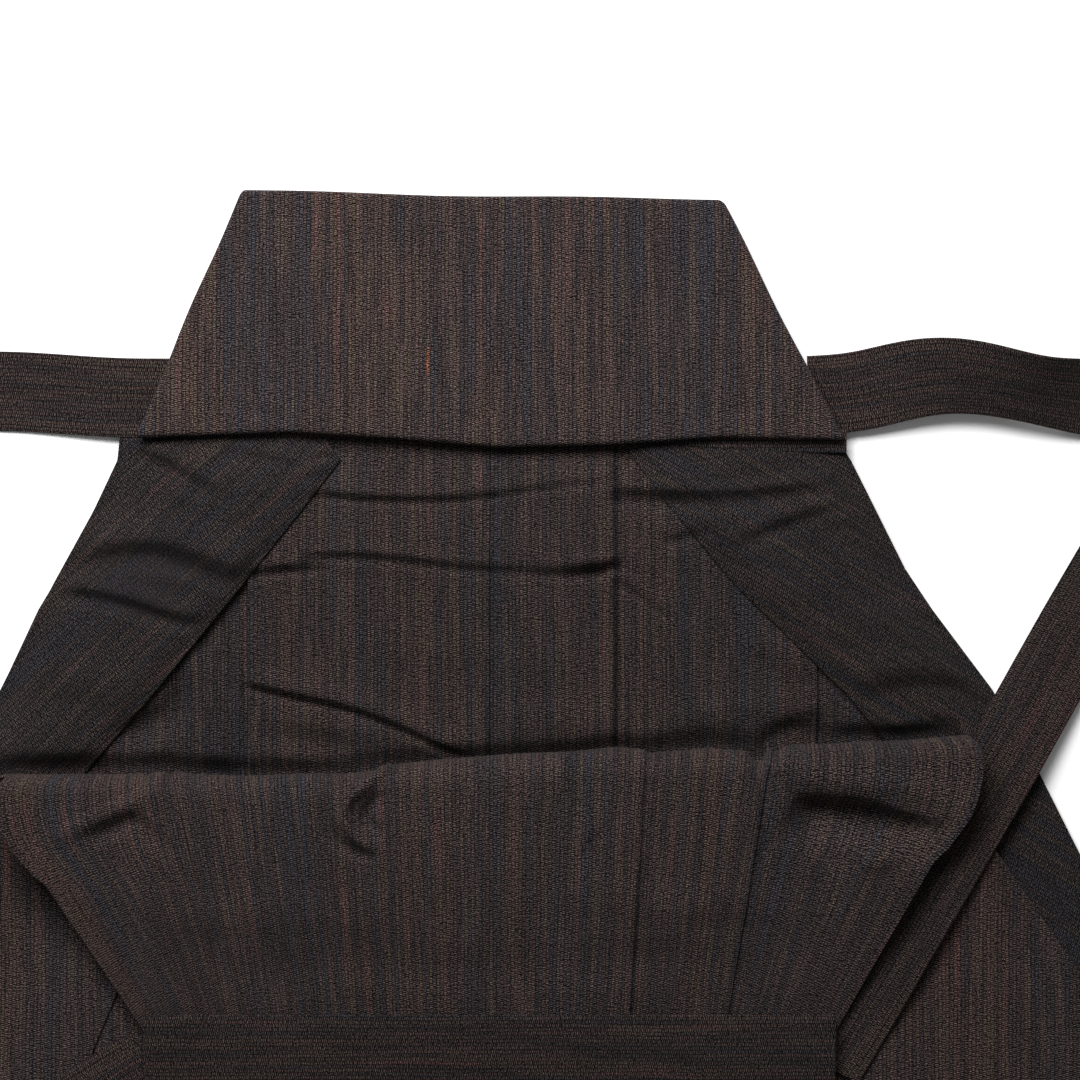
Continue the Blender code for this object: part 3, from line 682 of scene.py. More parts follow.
def panel(name, rows, left, right, middle, thickness, columns, warp, material):
    """A flat-laid piece of cloth: middle(x, y) is the height of its middle surface."""
    rim = thickness * RIM_SHARE
    x = spread_rows(left, right, columns, rim)
    y = np.repeat(np.asarray(rows)[:, None], x.shape[1], axis=1)
    away = np.minimum(x - x[:, :1], x[:, -1:] - x)
    away = np.minimum(away, np.minimum(rows[0] - y, y - rows[-1]))
    grid = np.stack([x, y, middle(x, y)], axis=-1)
    full = thickness * rounding(away, rim)
    return shell(name, grid, upwards(grid), full, turned_chart(x, y, warp), material)


def block(name, corner, counts, material):
    """A closed solid: the outer faces of a box of points, placed by corner(i, j, k)."""
    build = bmesh.new()
    points = {}
    charts = {}

    def point(index):
        if index not in points:
            place = corner(*index)
            points[index] = build.verts.new(placed(place))
            charts[points[index]] = (place[0] * MM, (place[1] + place[2]) * MM)
        return points[index]

    for axis in range(3):
        across, along = (axis + 1) % 3, (axis + 2) % 3
        for side in (0, counts[axis] - 1):
            for first in range(counts[across] - 1):
                for second in range(counts[along] - 1):
                    loop = []
                    for step_across, step_along in ((0, 0), (1, 0), (1, 1), (0, 1)):
                        index = [0, 0, 0]
                        index[axis] = side
                        index[across] = first + step_across
                        index[along] = second + step_along
                        loop.append(point(tuple(index)))
                    build.faces.new(loop if side else loop[::-1])
    bmesh.ops.recalc_face_normals(build, faces=build.faces)
    layer = build.loops.layers.uv.new(CHART)
    for face in build.faces:
        face.smooth = True
        for corner_loop in face.loops:
            corner_loop[layer].uv = charts[corner_loop.vert]
    mesh = bpy.data.meshes.new(name)
    build.to_mesh(mesh)
    build.free()
    mesh.materials.append(material)
    piece = bpy.data.objects.new(name, mesh)
    bpy.context.scene.collection.objects.link(piece)
    return piece


def finished(piece, node):
    """The piece rides on the body and stands for its solid, which is hidden."""
    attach(piece, BODY)
    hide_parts(node)
    return piece


def laid_size(grid):
    """Size and area, in metres, of the cloth of a grid of points that is laid smooth, before its creases."""
    down, right = np.diff(grid, axis=0), np.diff(grid, axis=1)
    wide = np.linalg.norm(right, axis=2).sum(axis=1).max()
    long = np.linalg.norm(down[:, down.shape[1] // 2], axis=1).sum()
    area = np.linalg.norm(np.cross(down[:, :-1], right[:-1]), axis=2).sum()
    return (float(wide) * MM, float(long) * MM), float(area) * MM * MM


def flat_area(sections, top, end):
    """Area of a table's outline between two lines across it, in square metres."""
    y = np.linspace(end, top, 400)
    left, right = edges_at(sections, y)
    return float(np.trapz(right - left, y)) * MM * MM


# ---------------------------------------------------------------- node trees


class Wire:
    """One output socket of a tree: an expression on it adds Math nodes."""

    def __init__(self, tree, socket):
        self.tree = tree
        self.socket = socket

    def maths(self, operation, *values):
        inputs = dict(enumerate(values))
        return self.tree.add("ShaderNodeMath", {"operation": operation}, inputs)

    def __add__(self, other):
        return self.maths("ADD", self, other)

    def __radd__(self, other):
        return self.maths("ADD", other, self)

    def __sub__(self, other):
        return self.maths("SUBTRACT", self, other)

    def __rsub__(self, other):
        return self.maths("SUBTRACT", other, self)

    def __mul__(self, other):
        return self.maths("MULTIPLY", self, other)

    def __rmul__(self, other):
        return self.maths("MULTIPLY", other, self)

    def __truediv__(self, other):
        return self.maths("DIVIDE", self, other)

    def __pow__(self, other):
        return self.maths("POWER", self, other)

    def sine(self):
        return self.maths("SINE", self)

    def floor(self):
        return self.maths("FLOOR", self)

    def fraction(self):
        return self.maths("FRACT", self)

    def size(self):
        return self.maths("ABSOLUTE", self)

    def most(self, other):
        return self.maths("MAXIMUM", self, other)

    def least(self, other):
        return self.maths("MINIMUM", self, other)


class Tree:
    """A node tree, and the one way that nodes are added to it."""

    def __init__(self, tree):
        self.tree = tree

    def add(self, kind, settings=None, inputs=None, output=0):
        """Adds a node, sets it, then fills or links its sockets, and gives one of its outputs."""
        node = self.tree.nodes.new(kind)
        for key, value in (settings or {}).items():
            if key == "stops":
                self.set_stops(node.color_ramp, value)
            else:
                setattr(node, key, value)
        for key, value in (inputs or {}).items():
            if isinstance(value, Wire):
                self.tree.links.new(value.socket, node.inputs[key])
            else:
                node.inputs[key].default_value = value
        return Wire(self, node.outputs[output]) if len(node.outputs) else node

    @staticmethod
    def set_stops(ramp, stops):
        while len(ramp.elements) > 1:
            ramp.elements.remove(ramp.elements[-1])
        for index, (place, colour) in enumerate(stops):
            stop = ramp.elements[0] if index == 0 else ramp.elements.new(place)
            stop.position = place
            stop.color = (*colour, 1.0)


def noise(tree, x, y, z, detail=2.0, roughness=0.5):
    """Noise of 0 to 1 at a place given by three values."""
    place = tree.add("ShaderNodeCombineXYZ", {}, {"X": x, "Y": y, "Z": z})
    settings = {"noise_dimensions": "3D"}
    inputs = {"Vector": place, "Scale": 1.0, "Detail": detail, "Roughness": roughness}
    return tree.add("ShaderNodeTexNoise", settings, inputs)


def scaled(colour, factor):
    return tuple(part * factor for part in colour)


def mixed(tree, factor, first, second, blend="MIX"):
    """Two colours mixed by a value."""
    settings = {"data_type": "RGBA", "blend_type": blend, "clamp_factor": True}
    return tree.add("ShaderNodeMix", settings, {0: factor, 6: first, 7: second}, 2)


def grey(tree, value):
    """A value as a colour."""
    return tree.add("ShaderNodeCombineColor", {}, {0: value, 1: value, 2: value})


def striped_cloth(name, tone, wash, depth, seed, slub=None):
    """Woven stripes in brown, dull red, olive and blue-grey, with short floats across the warp.

    tone scales the brightness, wash draws the colours towards grey, depth is the weave's relief.
    slub is the place of one stray orange yarn: how far across, then its two ends.
    """
    looks = bpy.context.scene.hakama_cloth
    material = bpy.data.materials.new(name)
    material.use_nodes = True
    nodes = material.node_tree.nodes
    nodes.clear()
    tree = Tree(material.node_tree)
    chart = tree.add("ShaderNodeUVMap", {"uv_map": CHART})
    parts = tree.add("ShaderNodeSeparateXYZ", {}, {0: chart})
    along = Wire(tree, parts.socket.node.outputs[1]) * (1 / MM)
    across = parts * (1 / MM)

    # the yarns lean a little from side to side
    drift = (noise(tree, across * 0.05, along * 0.022, seed, 1.0) - 0.5) * 1.4
    yarn = across + drift
    stripe = yarn / looks.stripe_width
    hue = noise(tree, stripe * 0.50, along * 0.008, seed + 3.1, 2.0, 0.65)
    fine = noise(tree, stripe * 1.05, along * 0.030, seed + 9.7, 1.0)
    band = noise(tree, yarn * 0.045, along * 0.002, seed + 5.3, 1.0)
    worn = noise(tree, across * 0.03, along * 0.03, seed + 7.9, 3.0)

    brown, blue = tuple(looks.brown), tuple(looks.blue)
    red, olive, dark = tuple(looks.red), tuple(looks.olive), tuple(looks.dark)
    stops = (
        (0.0, blue),
        (0.34, blue),
        (0.41, dark),
        (0.46, brown),
        (0.51, dark),
        (0.545, brown),
        (0.59, scaled(brown, 1.12)),
        (0.63, olive),
        (0.68, brown),
        (0.75, red),
        (1.0, red),
    )
    choice = 0.5 + (hue - 0.5) * 1.2 + (fine - 0.5) * 0.4 + (band - 0.5) * 0.28
    stripes = tree.add("ShaderNodeValToRGB", {"stops": stops}, {0: choice})
    broad = mixed(tree, (band - 0.36) * 3.2, (*scaled(blue, 1.02), 1.0), (*scaled(brown, 1.04), 1.0))
    colour = mixed(tree, 0.25, stripes, broad)

    # floats: short bars across each little column of warp, staggered from column to column
    column = yarn / looks.float_width
    stagger = column.floor() * 0.5
    beat = noise(tree, column.floor() * 7.31, along * 0.9, seed + 1.0, 0.0)
    rise = (along / looks.float_pitch + stagger + (beat - 0.5) * 0.9) * (2 * math.pi)
    bar = rise.sine() * 0.5 + 0.5
    side = 1 - ((column.fraction() - 0.5).size() * 2) ** 5 * 0.7
    floats = bar * side.most(0.0)
    speckle = noise(tree, across * 1.25, along * 2.3, seed + 2.0, 1.0)
    fleck = noise(tree, across * 2.2, along * 3.4, seed + 4.0, 0.0)

    light = (floats - 0.40) * 7.5 + (speckle - 0.5) * 14.0 + (fleck - 0.5) * 16.0
    light = light + (fine - 0.5) * 2.4 + (worn - 0.5) * 0.5
    light = (light * (1 + 1.6 * wash) + 0.6).most(0.02) * tone
    colour = mixed(tree, wash, colour, (*looks.wash, 1.0))
    if slub:
        half = (slub[2] - slub[1]) / 2
        near = (1.4 - ((across - slub[0]) / 0.5).size()).most(0.0).least(1.0)
        inside = ((1 - ((along - slub[1] - half) / half).size()) * 4).most(0.0).least(1.0)
        colour = mixed(tree, near * inside * 0.8, colour, (*looks.slub, 1.0))
    colour = mixed(tree, 1.0, colour, grey(tree, light), "MULTIPLY")

    height = floats * 0.7 + speckle * 0.5
    bump = {"Strength": depth, "Distance": looks.weave_depth, "Height": height}
    normal = tree.add("ShaderNodeBump", {}, bump)
    shine = {
        "Base Color": colour,
        "Roughness": 0.92 - floats * 0.10,
        "Normal": normal,
        "Sheen Weight": looks.sheen,
        "Sheen Roughness": 0.6,
        "Specular IOR Level": 0.07,
    }
    surface = tree.add("ShaderNodeBsdfPrincipled", {}, shine)
    tree.add("ShaderNodeOutputMaterial", {}, {"Surface": surface})
    return material


def cloth(kind):
    """One of the garment's cloths, made once."""
    made = bpy.data.materials.get(kind)
    if made:
        return made
    looks = bpy.context.scene.hakama_cloth
    kinds = {
        "striped cloth": (looks.tone, 0.10, 0.5, 1.0),
        "striped cloth of the front": (looks.front_tone, 0.06, 0.5, 4.0),
        # the flaps show the cloth's greyer other side; their lower tone is also painted shade, for the
        # slanted grain that catches less light
        "striped cloth, turned over": (looks.turned_tone_and_painted_shade, 0.2, 0.6, 11.0),
        "striped cloth on the board": (looks.board_tone, 0.0, 0.6, 21.0, (-25.0, 26.0, 37.5)),
        # the ties' lower tone is painted shade: their warp runs across the garment, which takes less of the
        # light
        "striped cloth of the ties": (looks.tie_tone_and_painted_shade, 0.22, 0.5, 31.0),
    }
    return striped_cloth(kind, *kinds[kind])


def plain_thread(name, colour, roughness):
    """Sewing thread with a little twist in its colour."""
    made = bpy.data.materials.get(name)
    if made:
        return made
    material = bpy.data.materials.new(name)
    material.use_nodes = True
    material.node_tree.nodes.clear()
    tree = Tree(material.node_tree)
    place = tree.add("ShaderNodeTexCoord", {}, {}, 3)
    parts = tree.add("ShaderNodeSeparateXYZ", {}, {0: place})
    ends = Wire(tree, parts.socket.node.outputs[1])
    twist = ((parts + ends) * 9000.0).sine() * 0.25 + 0.85
    shade = mixed(tree, 1.0, (*colour, 1.0), grey(tree, twist), "MULTIPLY")
    surface = tree.add("ShaderNodeBsdfPrincipled", {}, {"Base Color": shade, "Roughness": roughness})
    tree.add("ShaderNodeOutputMaterial", {}, {"Surface": surface})
    return material


# ---------------------------------------------------------------- settings


def colour_setting(name, description, default):
    """A colour that a user can change."""
    return bpy.props.FloatVectorProperty(
        name=name, description=description, subtype="COLOR", default=default)


def tone_setting(name, description, default):
    """The brightness of one of the cloths."""
    return bpy.props.FloatProperty(
        name=name, description=description, default=default, min=0.02, max=3.0)


class HakamaShape(bpy.types.PropertyGroup):
    """Sizes that a maker would change."""

    detail: bpy.props.FloatProperty(
        name="Detail", description="Spacing of the points where the cloth is seen close to",
        default=0.0014, min=0.001, max=0.01, unit="LENGTH")
    crease: bpy.props.FloatProperty(
        name="Crease depth", description="How strongly the cloth is creased, as a factor",
        default=1.0, min=0.0, max=2.0)
    stitch_length: bpy.props.FloatProperty(
        name="Stitch length", description="Length of one blind stitch",
        default=0.0016, min=0.0005, max=0.01, unit="LENGTH")
    stitch_spacing: bpy.props.FloatProperty(
        name="Stitch spacing", description="Distance from one blind stitch to the next",
        default=0.009, min=0.002, max=0.05, unit="LENGTH")


class HakamaCloth(bpy.types.PropertyGroup):
    """Colours and weave of the cloth."""

    brown: colour_setting("Brown stripe", "Colour of the brown warp", (0.073, 0.0475, 0.0435))
    blue: colour_setting("Blue stripe", "Colour of the blue-grey warp", (0.046, 0.042, 0.050))
    red: colour_setting("Red stripe", "Colour of the dull red warp", (0.102, 0.050, 0.046))
    olive: colour_setting("Olive stripe", "Colour of the olive warp", (0.074, 0.058, 0.036))
    dark: colour_setting("Dark stripe", "Colour of the darkest warp", (0.030, 0.024, 0.024))
    slub: colour_setting("Slub", "Colour of the one stray yarn on the board", (0.26, 0.085, 0.040))
    wash: colour_setting("Wash", "Grey that the turned side and the ties tend to", (0.046, 0.041, 0.042))
    stripe_width: bpy.props.FloatProperty(
        name="Stripe width", description="Usual width of a stripe, in millimetres",
        default=1.6, min=0.2, max=20)
    float_width: bpy.props.FloatProperty(
        name="Float width", description="Width of one column of floats, in millimetres",
        default=1.5, min=0.2, max=10)
    float_pitch: bpy.props.FloatProperty(
        name="Float pitch", description="Distance between floats along the warp, in millimetres",
        default=0.84, min=0.2, max=10)
    weave_depth: bpy.props.FloatProperty(
        name="Weave depth", description="Relief of the weave",
        default=0.00025, min=0.0, max=0.002, unit="LENGTH")
    sheen: bpy.props.FloatProperty(
        name="Sheen", description="Soft shine of the nap", default=0.02, min=0.0, max=1.0,
        subtype="FACTOR")
    tone: tone_setting("Tone", "Brightness of the cloth", 0.170)
    front_tone: tone_setting("Front tone", "Brightness of the front's cloth", 0.20)
    # Painted shade: besides the other side's own colour, this tone darkens the flaps for their slanted grain
    turned_tone_and_painted_shade: tone_setting("Turned tone and painted shade", "Brightness of the cloth's other side", 0.118)
    board_tone: tone_setting("Board tone", "Brightness of the board's cloth", 0.25)
    # Painted shade: the ties are darker than the rest for their grain running across the garment
    tie_tone_and_painted_shade: tone_setting("Tie tone and painted shade", "Brightness of the ties", 0.13)


class HakamaStage(bpy.types.PropertyGroup):
    """Floor, light and camera."""

    floor: colour_setting("Floor", "Colour of the floor", (0.86, 0.86, 0.86))
    key: bpy.props.FloatProperty(
        name="Key light", description="Power of the large light beyond the board",
        default=30.0, min=0.0, max=500, unit="POWER")
    sky: bpy.props.FloatProperty(
        name="Sky", description="Strength of the light from all round", default=0.22, min=0.0, max=5.0)
    distance: bpy.props.FloatProperty(
        name="Camera height", description="Height of the camera over the garment",
        default=1.4, min=0.3, max=10, unit="LENGTH")
    view_width: bpy.props.FloatProperty(
        name="View width", description="Width of the view at the garment",
        default=0.432, min=0.05, max=5, unit="LENGTH")


# ---------------------------------------------------------------- pieces


class HAKAMA_OT_backs(bpy.types.Operator):
    """Lay the outer backs, the pleat layer and the two centre widths"""

    bl_idname = "hakama.backs"
    bl_label = "Backs"

    def execute(self, context):
        step = context.scene.hakama_shape.detail / MM
        crease = context.scene.hakama_shape.crease
        stuff = cloth("striped cloth")

        def lifted(level):
            return lambda x, y: level + crease * back_lift(x, y)

        pieces = (
            ("back_left", BACK_OUTLINE, True, BASE_MIDDLE, BASE_CLOTH),
            ("back_right", BACK_OUTLINE, False, BASE_MIDDLE, BASE_CLOTH),
            ("back_pleat", PLEAT_LAYER, None, PLEAT_LEVEL + CLOTH / 2, CLOTH),
            ("back_centre_left", CENTRE_WIDTHS, True, CENTRE_LEVEL + CLOTH / 2, CLOTH),
            ("back_centre_right", CENTRE_WIDTHS, False, CENTRE_LEVEL + CLOTH / 2, CLOTH),
        )
        for name, sections, left_half, level, thickness in pieces:
            rows = rows_between(CENTRE_TOP, BACK_HEM, CLOSE_END, step, 14, thickness * RIM_SHARE)
            left, right = edges_at(sections, rows)
            if left_half is True:
                right = np.full(len(rows), -SEAM_GAP / 2)
            if left_half is False:
                left = np.full(len(rows), SEAM_GAP / 2)
            columns = int((right - left)[len(rows) // 3] / step) + 1
            height = lifted(level)
            piece = panel(name + "_cloth", rows, left, right, height, thickness, columns, WARP_UP, stuff)
            finished(piece, name)
        return {"FINISHED"}


class HAKAMA_OT_flaps(bpy.types.Operator):
    """Fold in the side allowances along the slanted sides"""

    bl_idname = "hakama.flaps"
    bl_label = "Flaps"

    def execute(self, context):
        step = context.scene.hakama_shape.detail / MM
        crease = context.scene.hakama_shape.crease
        # the flaps' cloth is the greyer other side, darkened further with painted shade
        stuff = cloth("striped cloth, turned over")
        middle = PLEAT_LEVEL + CLOTH / 2

        def left_middle(x, y):
            climb = (FRONT_LEVEL - PLEAT_LEVEL) * smooth((x - LEFT_FLAP_RISE_FROM) / FLAP_RISE_WIDTH)
            return middle + climb + crease * (back_lift(x, y) + flap_lift(x, y))

        def right_middle(x, y):
            climb = (CENTRE_LEVEL - PLEAT_LEVEL) * smooth((RIGHT_FLAP_RISE_FROM - x) / FLAP_RISE_WIDTH)
            return middle + climb + crease * (back_lift(x, y) + flap_lift(x, y))

        pieces = (
            ("back_flap_left", LEFT_FLAP, left_middle, LEFT_FLAP_WARP, "back_left_cloth"),
            ("back_flap_right", RIGHT_FLAP, right_middle, RIGHT_FLAP_WARP, "back_right_cloth"),
        )
        for name, sections, height, warp, under in pieces:
            rows = rows_between(FLAP_TOP, FLAP_END, CLOSE_END, step, 8, CLOTH * RIM_SHARE)
            left, right = edges_at(sections, rows)
            columns = int(88 / step)
            piece = panel(name + "_cloth", rows, left, right, height, CLOTH, columns, warp, stuff)
            finished(piece, name)
            area = flat_area(sections, FLAP_TOP, FLAP_END)
        return {"FINISHED"}


class HAKAMA_OT_legs(bpy.types.Operator):
    """Lay the five front pleats from under the roll to the hem"""

    bl_idname = "hakama.legs"
    bl_label = "Front legs"

    def execute(self, context):
        stuff = cloth("striped cloth of the front")
        for strip in FRONT_STRIPS:
            level = FRONT_LEVEL + LAYER_STEP * strip.layer + CLOTH / 2
            sections = [Section(y, *width) for y, width in zip(LEG_STATIONS, strip.widths)]
            outer = strip.name in ("1", "5")
            inner_side = 1 if strip.name == "1" else 0

            def middle(x, y):
                near = edges_at(sections, y)
                slack = np.maximum(folds_lift(LEG_FOLDS, x, y), 0.0) * smooth((-190 - y) / 60)
                if not outer:
                    return level + slack
                away = smooth((np.abs(x - near[inner_side]) - SINK_EDGE) / SINK_WIDTH)
                to_flaps = SINK_TO_FLAPS * smooth((TURN_JOIN - y) / 60)
                to_backs = SINK_TO_BACKS * smooth((SIDE_SEAM_TOP - y) / 60)
                return level + slack - away * (to_flaps + to_backs)

            top = TURN_JOIN - SEAM_GAP
            rows = rows_between(top, FRONT_HEM, SIDE_SEAM_TOP, 5, 10, CLOTH * RIM_SHARE)
            left, right = edges_at(sections, rows)
            columns = int((right - left).max() / 4)
            name = "front_leg_" + strip.name
            piece = panel(name + "_cloth", rows, left, right, middle, CLOTH, columns, WARP_UP, stuff)
            finished(piece, name)
            area = flat_area(sections, top, FRONT_HEM)
        return {"FINISHED"}


def turn_stations(step):
    """The turned-down front's middle line: (distance behind the crest, height, length along it)."""
    turn = np.linspace(-math.pi / 2, math.pi / 2, 26)
    back = list(ROLL_RADIUS * (1 - np.cos(turn)))
    height = list(ROLL_RADIUS * (1 + np.sin(turn)))
    tops = softened(((ROLL_RADIUS, 2 * ROLL_RADIUS),) + TURN_TOP, 3)
    along = np.concatenate([[0.0], np.cumsum(np.hypot(*np.diff(tops, axis=0).T))])
    places = np.linspace(0, along[-1], int(along[-1] / step))[1:]
    back += list(np.interp(places, along, tops[:, 0]))
    height += list(np.interp(places, along, tops[:, 1]))
    back, height = np.array(back), np.array(height)
    length = np.concatenate([[0.0], np.cumsum(np.hypot(np.diff(back), np.diff(height)))])
    return back, height, length


def with_rim(values, rim, length):
    """Adds the close places of a rounded edge to both ends of a list of lengths."""
    start, end = length[0], length[-1]
    inner = [value for value in values if start + rim < value < end - rim]
    ends = rim * RIM_STEPS
    return np.concatenate([start + ends, [start + rim], inner, [end - rim], (end - ends)[::-1]])


class HAKAMA_OT_roll(bpy.types.Operator):
    """Turn the five front pleats over and back down to the waistband"""

    bl_idname = "hakama.roll"
    bl_label = "Turned-down front"

    def execute(self, context):
        step = context.scene.hakama_shape.detail / MM
        crease = context.scene.hakama_shape.crease
        stuff = cloth("striped cloth of the front")
        back, height, length = turn_stations(step)
        rim = CLOTH * RIM_SHARE
        ways = with_rim(list(np.arange(-LOWER_RUN, 0, 3.0)) + list(length), rim, (-LOWER_RUN, length[-1]))
        back = np.interp(ways, length, back)
        height = np.interp(ways, length, height)
        for strip in FRONT_STRIPS:
            wide = strip.crest_right - strip.crest_left
            crest_x = spread(strip.crest_left, strip.crest_right, wide / (int(wide / step) + 1), rim)
            x0 = np.repeat(crest_x[None, :], len(ways), axis=0)
            behind = np.repeat(back[:, None], len(crest_x), axis=1)
            way = np.repeat(ways[:, None], len(crest_x), axis=1)
            over = smooth((way - 0.25 * math.pi * ROLL_RADIUS) / 6)
            crest = line_at(CREST_LINE, x0)
            join = TURN_JOIN + (crest - ROLL_RADIUS - TURN_JOIN) * (1 + way / LOWER_RUN)
            stretch = (crest - ROLL_RADIUS - TURN_END) / (TURN_DEPTH - ROLL_RADIUS)
            past = np.maximum(behind - ROLL_RADIUS, 0.0) * smooth((way - math.pi * ROLL_RADIUS) / 8 + 0.5)
            y = np.where(way < 0, join, crest - behind - past * (stretch - 1))
            fallen = np.where(way > 0.5 * math.pi * ROLL_RADIUS, behind, 0.0)
            x = x0 * waist_share(x0, fallen)
            if strip.name in ("1", "5"):
                inner_x = strip.crest_right if strip.name == "1" else strip.crest_left
                outer_x = strip.crest_left if strip.name == "1" else strip.crest_right
                reach = np.interp(fallen, *zip(*ROLL_END)) - ROLL_END[0][1]
                reach = (reach + ROLL_END[0][1] - abs(outer_x)) * smooth((way - 7) / 9)
                near = inner_x * waist_share(inner_x, fallen)
                far = outer_x + math.copysign(1.0, outer_x) * reach
                x = near + (far - near) * (x0 - inner_x) / (outer_x - inner_x)
            z = FRONT_LEVEL + CLOTH / 2 + np.repeat(height[:, None], len(crest_x), axis=1)
            smooth_grid = np.stack([x, y, z], axis=-1)
            outward = normals_of(smooth_grid)
            outward[..., 0] *= 0.3
            outward /= np.linalg.norm(outward, axis=2, keepdims=True)
            flat = smooth((way + 1) / 4)[..., None]
            outward = outward * flat - upwards(outward) * (1 - flat)
            outward /= np.linalg.norm(outward, axis=2, keepdims=True)
            ease = smooth((length[-1] - way) / 12)
            lift = crease * roll_lift(x, y, over * ease) - LAYER_STEP * strip.layer
            grid = smooth_grid + outward * lift[..., None]
            away = np.minimum(crest_x - crest_x[0], crest_x[-1] - crest_x)[None, :]
            away = np.minimum(away, np.minimum(way - ways[0], ways[-1] - way))
            chart = np.stack([x0, -way], axis=-1) * MM
            name = "front_turn_" + strip.name
            full = CLOTH * rounding(away, rim)
            piece = shell(name + "_cloth", grid, outward, full, chart, stuff)
            finished(piece, name)
            flat, area = laid_size(smooth_grid)
        return {"FINISHED"}


class HAKAMA_OT_core(bpy.types.Operator):
    """Fill the roll with its hidden layers, which show at its ends"""

    bl_idname = "hakama.core"
    bl_label = "Layers inside the roll"

    def execute(self, context):
        floor = FRONT_LEVEL + 3 * LAYER_STEP
        heights = ((0, 2 * ROLL_RADIUS),) + TURN_TOP
        columns, rows, levels = CORE_COUNTS
        last = len(CORE_BACK) - 1
        backs = np.interp(np.linspace(0, last, rows), range(last + 1), CORE_BACK)

        def corner(column, row, level):
            behind = backs[row]
            rise = level / (levels - 1)
            share = 2 * column / (columns - 1) - 1
            groove = CORE_GROOVE * (0.5 + 0.5 * math.cos(2 * math.pi * CORE_LAYERS * rise))
            crest_x = CORE_HALF * share * (1 - groove - CORE_BULGE * (2 * rise - 1) ** 4)
            hollow = CORE_SINK + CORE_DENT * smooth((crest_x - CORE_DENT_FROM) / CORE_DENT_WIDTH)
            top = max(line_at(heights, behind) + CORE_CLEARANCE - hollow, floor + CORE_LEAST)
            behind += CORE_NOSE_START + CORE_NOSE * (2 * rise - 1) ** 2 * max(1 - row / CORE_NOSE_ROWS, 0)
            x = crest_x * waist_share(crest_x, behind)
            return x, line_at(CREST_LINE, crest_x) - behind, floor + (top - floor) * rise

        piece = block("fold_core_layers", corner, CORE_COUNTS, cloth("striped cloth of the front"))
        finished(piece, "fold_core")
        return {"FINISHED"}


class HAKAMA_OT_board(bpy.types.Operator):
    """Make the stiff back board in its cloth cover"""

    bl_idname = "hakama.board"
    bl_label = "Back board"

    def execute(self, context):
        step = context.scene.hakama_shape.detail / MM * 1.25
        rim = BOARD_THICKNESS / 2
        long = BOARD_LENGTH
        rows = spread(0.0, long, step, rim)[::-1]

        def rounded_by(past_start):
            """How far the outline is drawn in where a corner is rounded."""
            share = np.clip(past_start / BOARD_CORNER, 0.0, 1.0)
            return BOARD_CORNER * (1 - np.sqrt(np.maximum(1 - share**2, 0.0)))

        cut = rounded_by(rows - (long - BOARD_CORNER))
        foot = rounded_by(BOARD_CORNER - rows)
        rise = rows / long
        wave_left = 0.5 * np.sin(rise * 9.0) * np.sin(rise * math.pi)
        wave_right = 0.6 * np.sin(rise * 7.0 + 1.0) * np.sin(rise * math.pi)
        left = -BOARD_BOTTOM_HALF + (BOARD_TOP_LEFT[0] + BOARD_BOTTOM_HALF) * rise
        left = left + 0.6 * cut + foot + wave_left
        right = BOARD_BOTTOM_HALF + (BOARD_TOP_RIGHT[0] - BOARD_BOTTOM_HALF) * rise
        right = right - cut - foot + wave_right
        x = spread_rows(left, right, int(2 * BOARD_BOTTOM_HALF / step), rim)
        share = (x - x[:, :1]) / (x[:, -1:] - x[:, :1])
        low = line_at(BOARD_EDGE, BOARD_BOTTOM_HALF * (2 * share - 1))
        high = BOARD_TOP_LEFT[1] + (BOARD_TOP_RIGHT[1] - BOARD_TOP_LEFT[1]) * share
        high = high + 0.35 * np.sin(share * 11.0) - 0.5 * np.sin(share * math.pi)
        y = low + (high - low) * rise[:, None]
        rest = BOARD_REST * np.maximum(1 - np.maximum(y, 0) / BOARD_LENGTH, 0.0)
        away = np.minimum(x - x[:, :1], x[:, -1:] - x)
        away = np.minimum(away, np.minimum(long - rows, rows)[:, None])
        full = BOARD_THICKNESS * rounding(away, rim)
        slack = 0.22 * ripple(x, y, 4.0, 41) + 0.12 * ripple(x, y, 6.0, 17)
        for run in STITCH_RUNS:
            if run.piece == "koshi_ita_cover":
                (x0, y0), (x1, y1) = run.points
                line = ((x0 - 2, y0, 0.4), (x0, y0, 1), (x1, y1, 1), (x1 + 2, y1, 0.4))
                slack = slack + fold_lift(Fold(-1.0, 3.5, 3, line), x, y)
        middle = rest + BOARD_THICKNESS / 2 + slack * rounding(away, 14)
        grid = np.stack([x, y, middle], axis=-1)
        stuff = cloth("striped cloth on the board")
        piece = shell("koshi_ita_cover", grid, upwards(grid), full, turned_chart(x, y, WARP_UP), stuff)
        finished(piece, "koshi_ita")
        return {"FINISHED"}


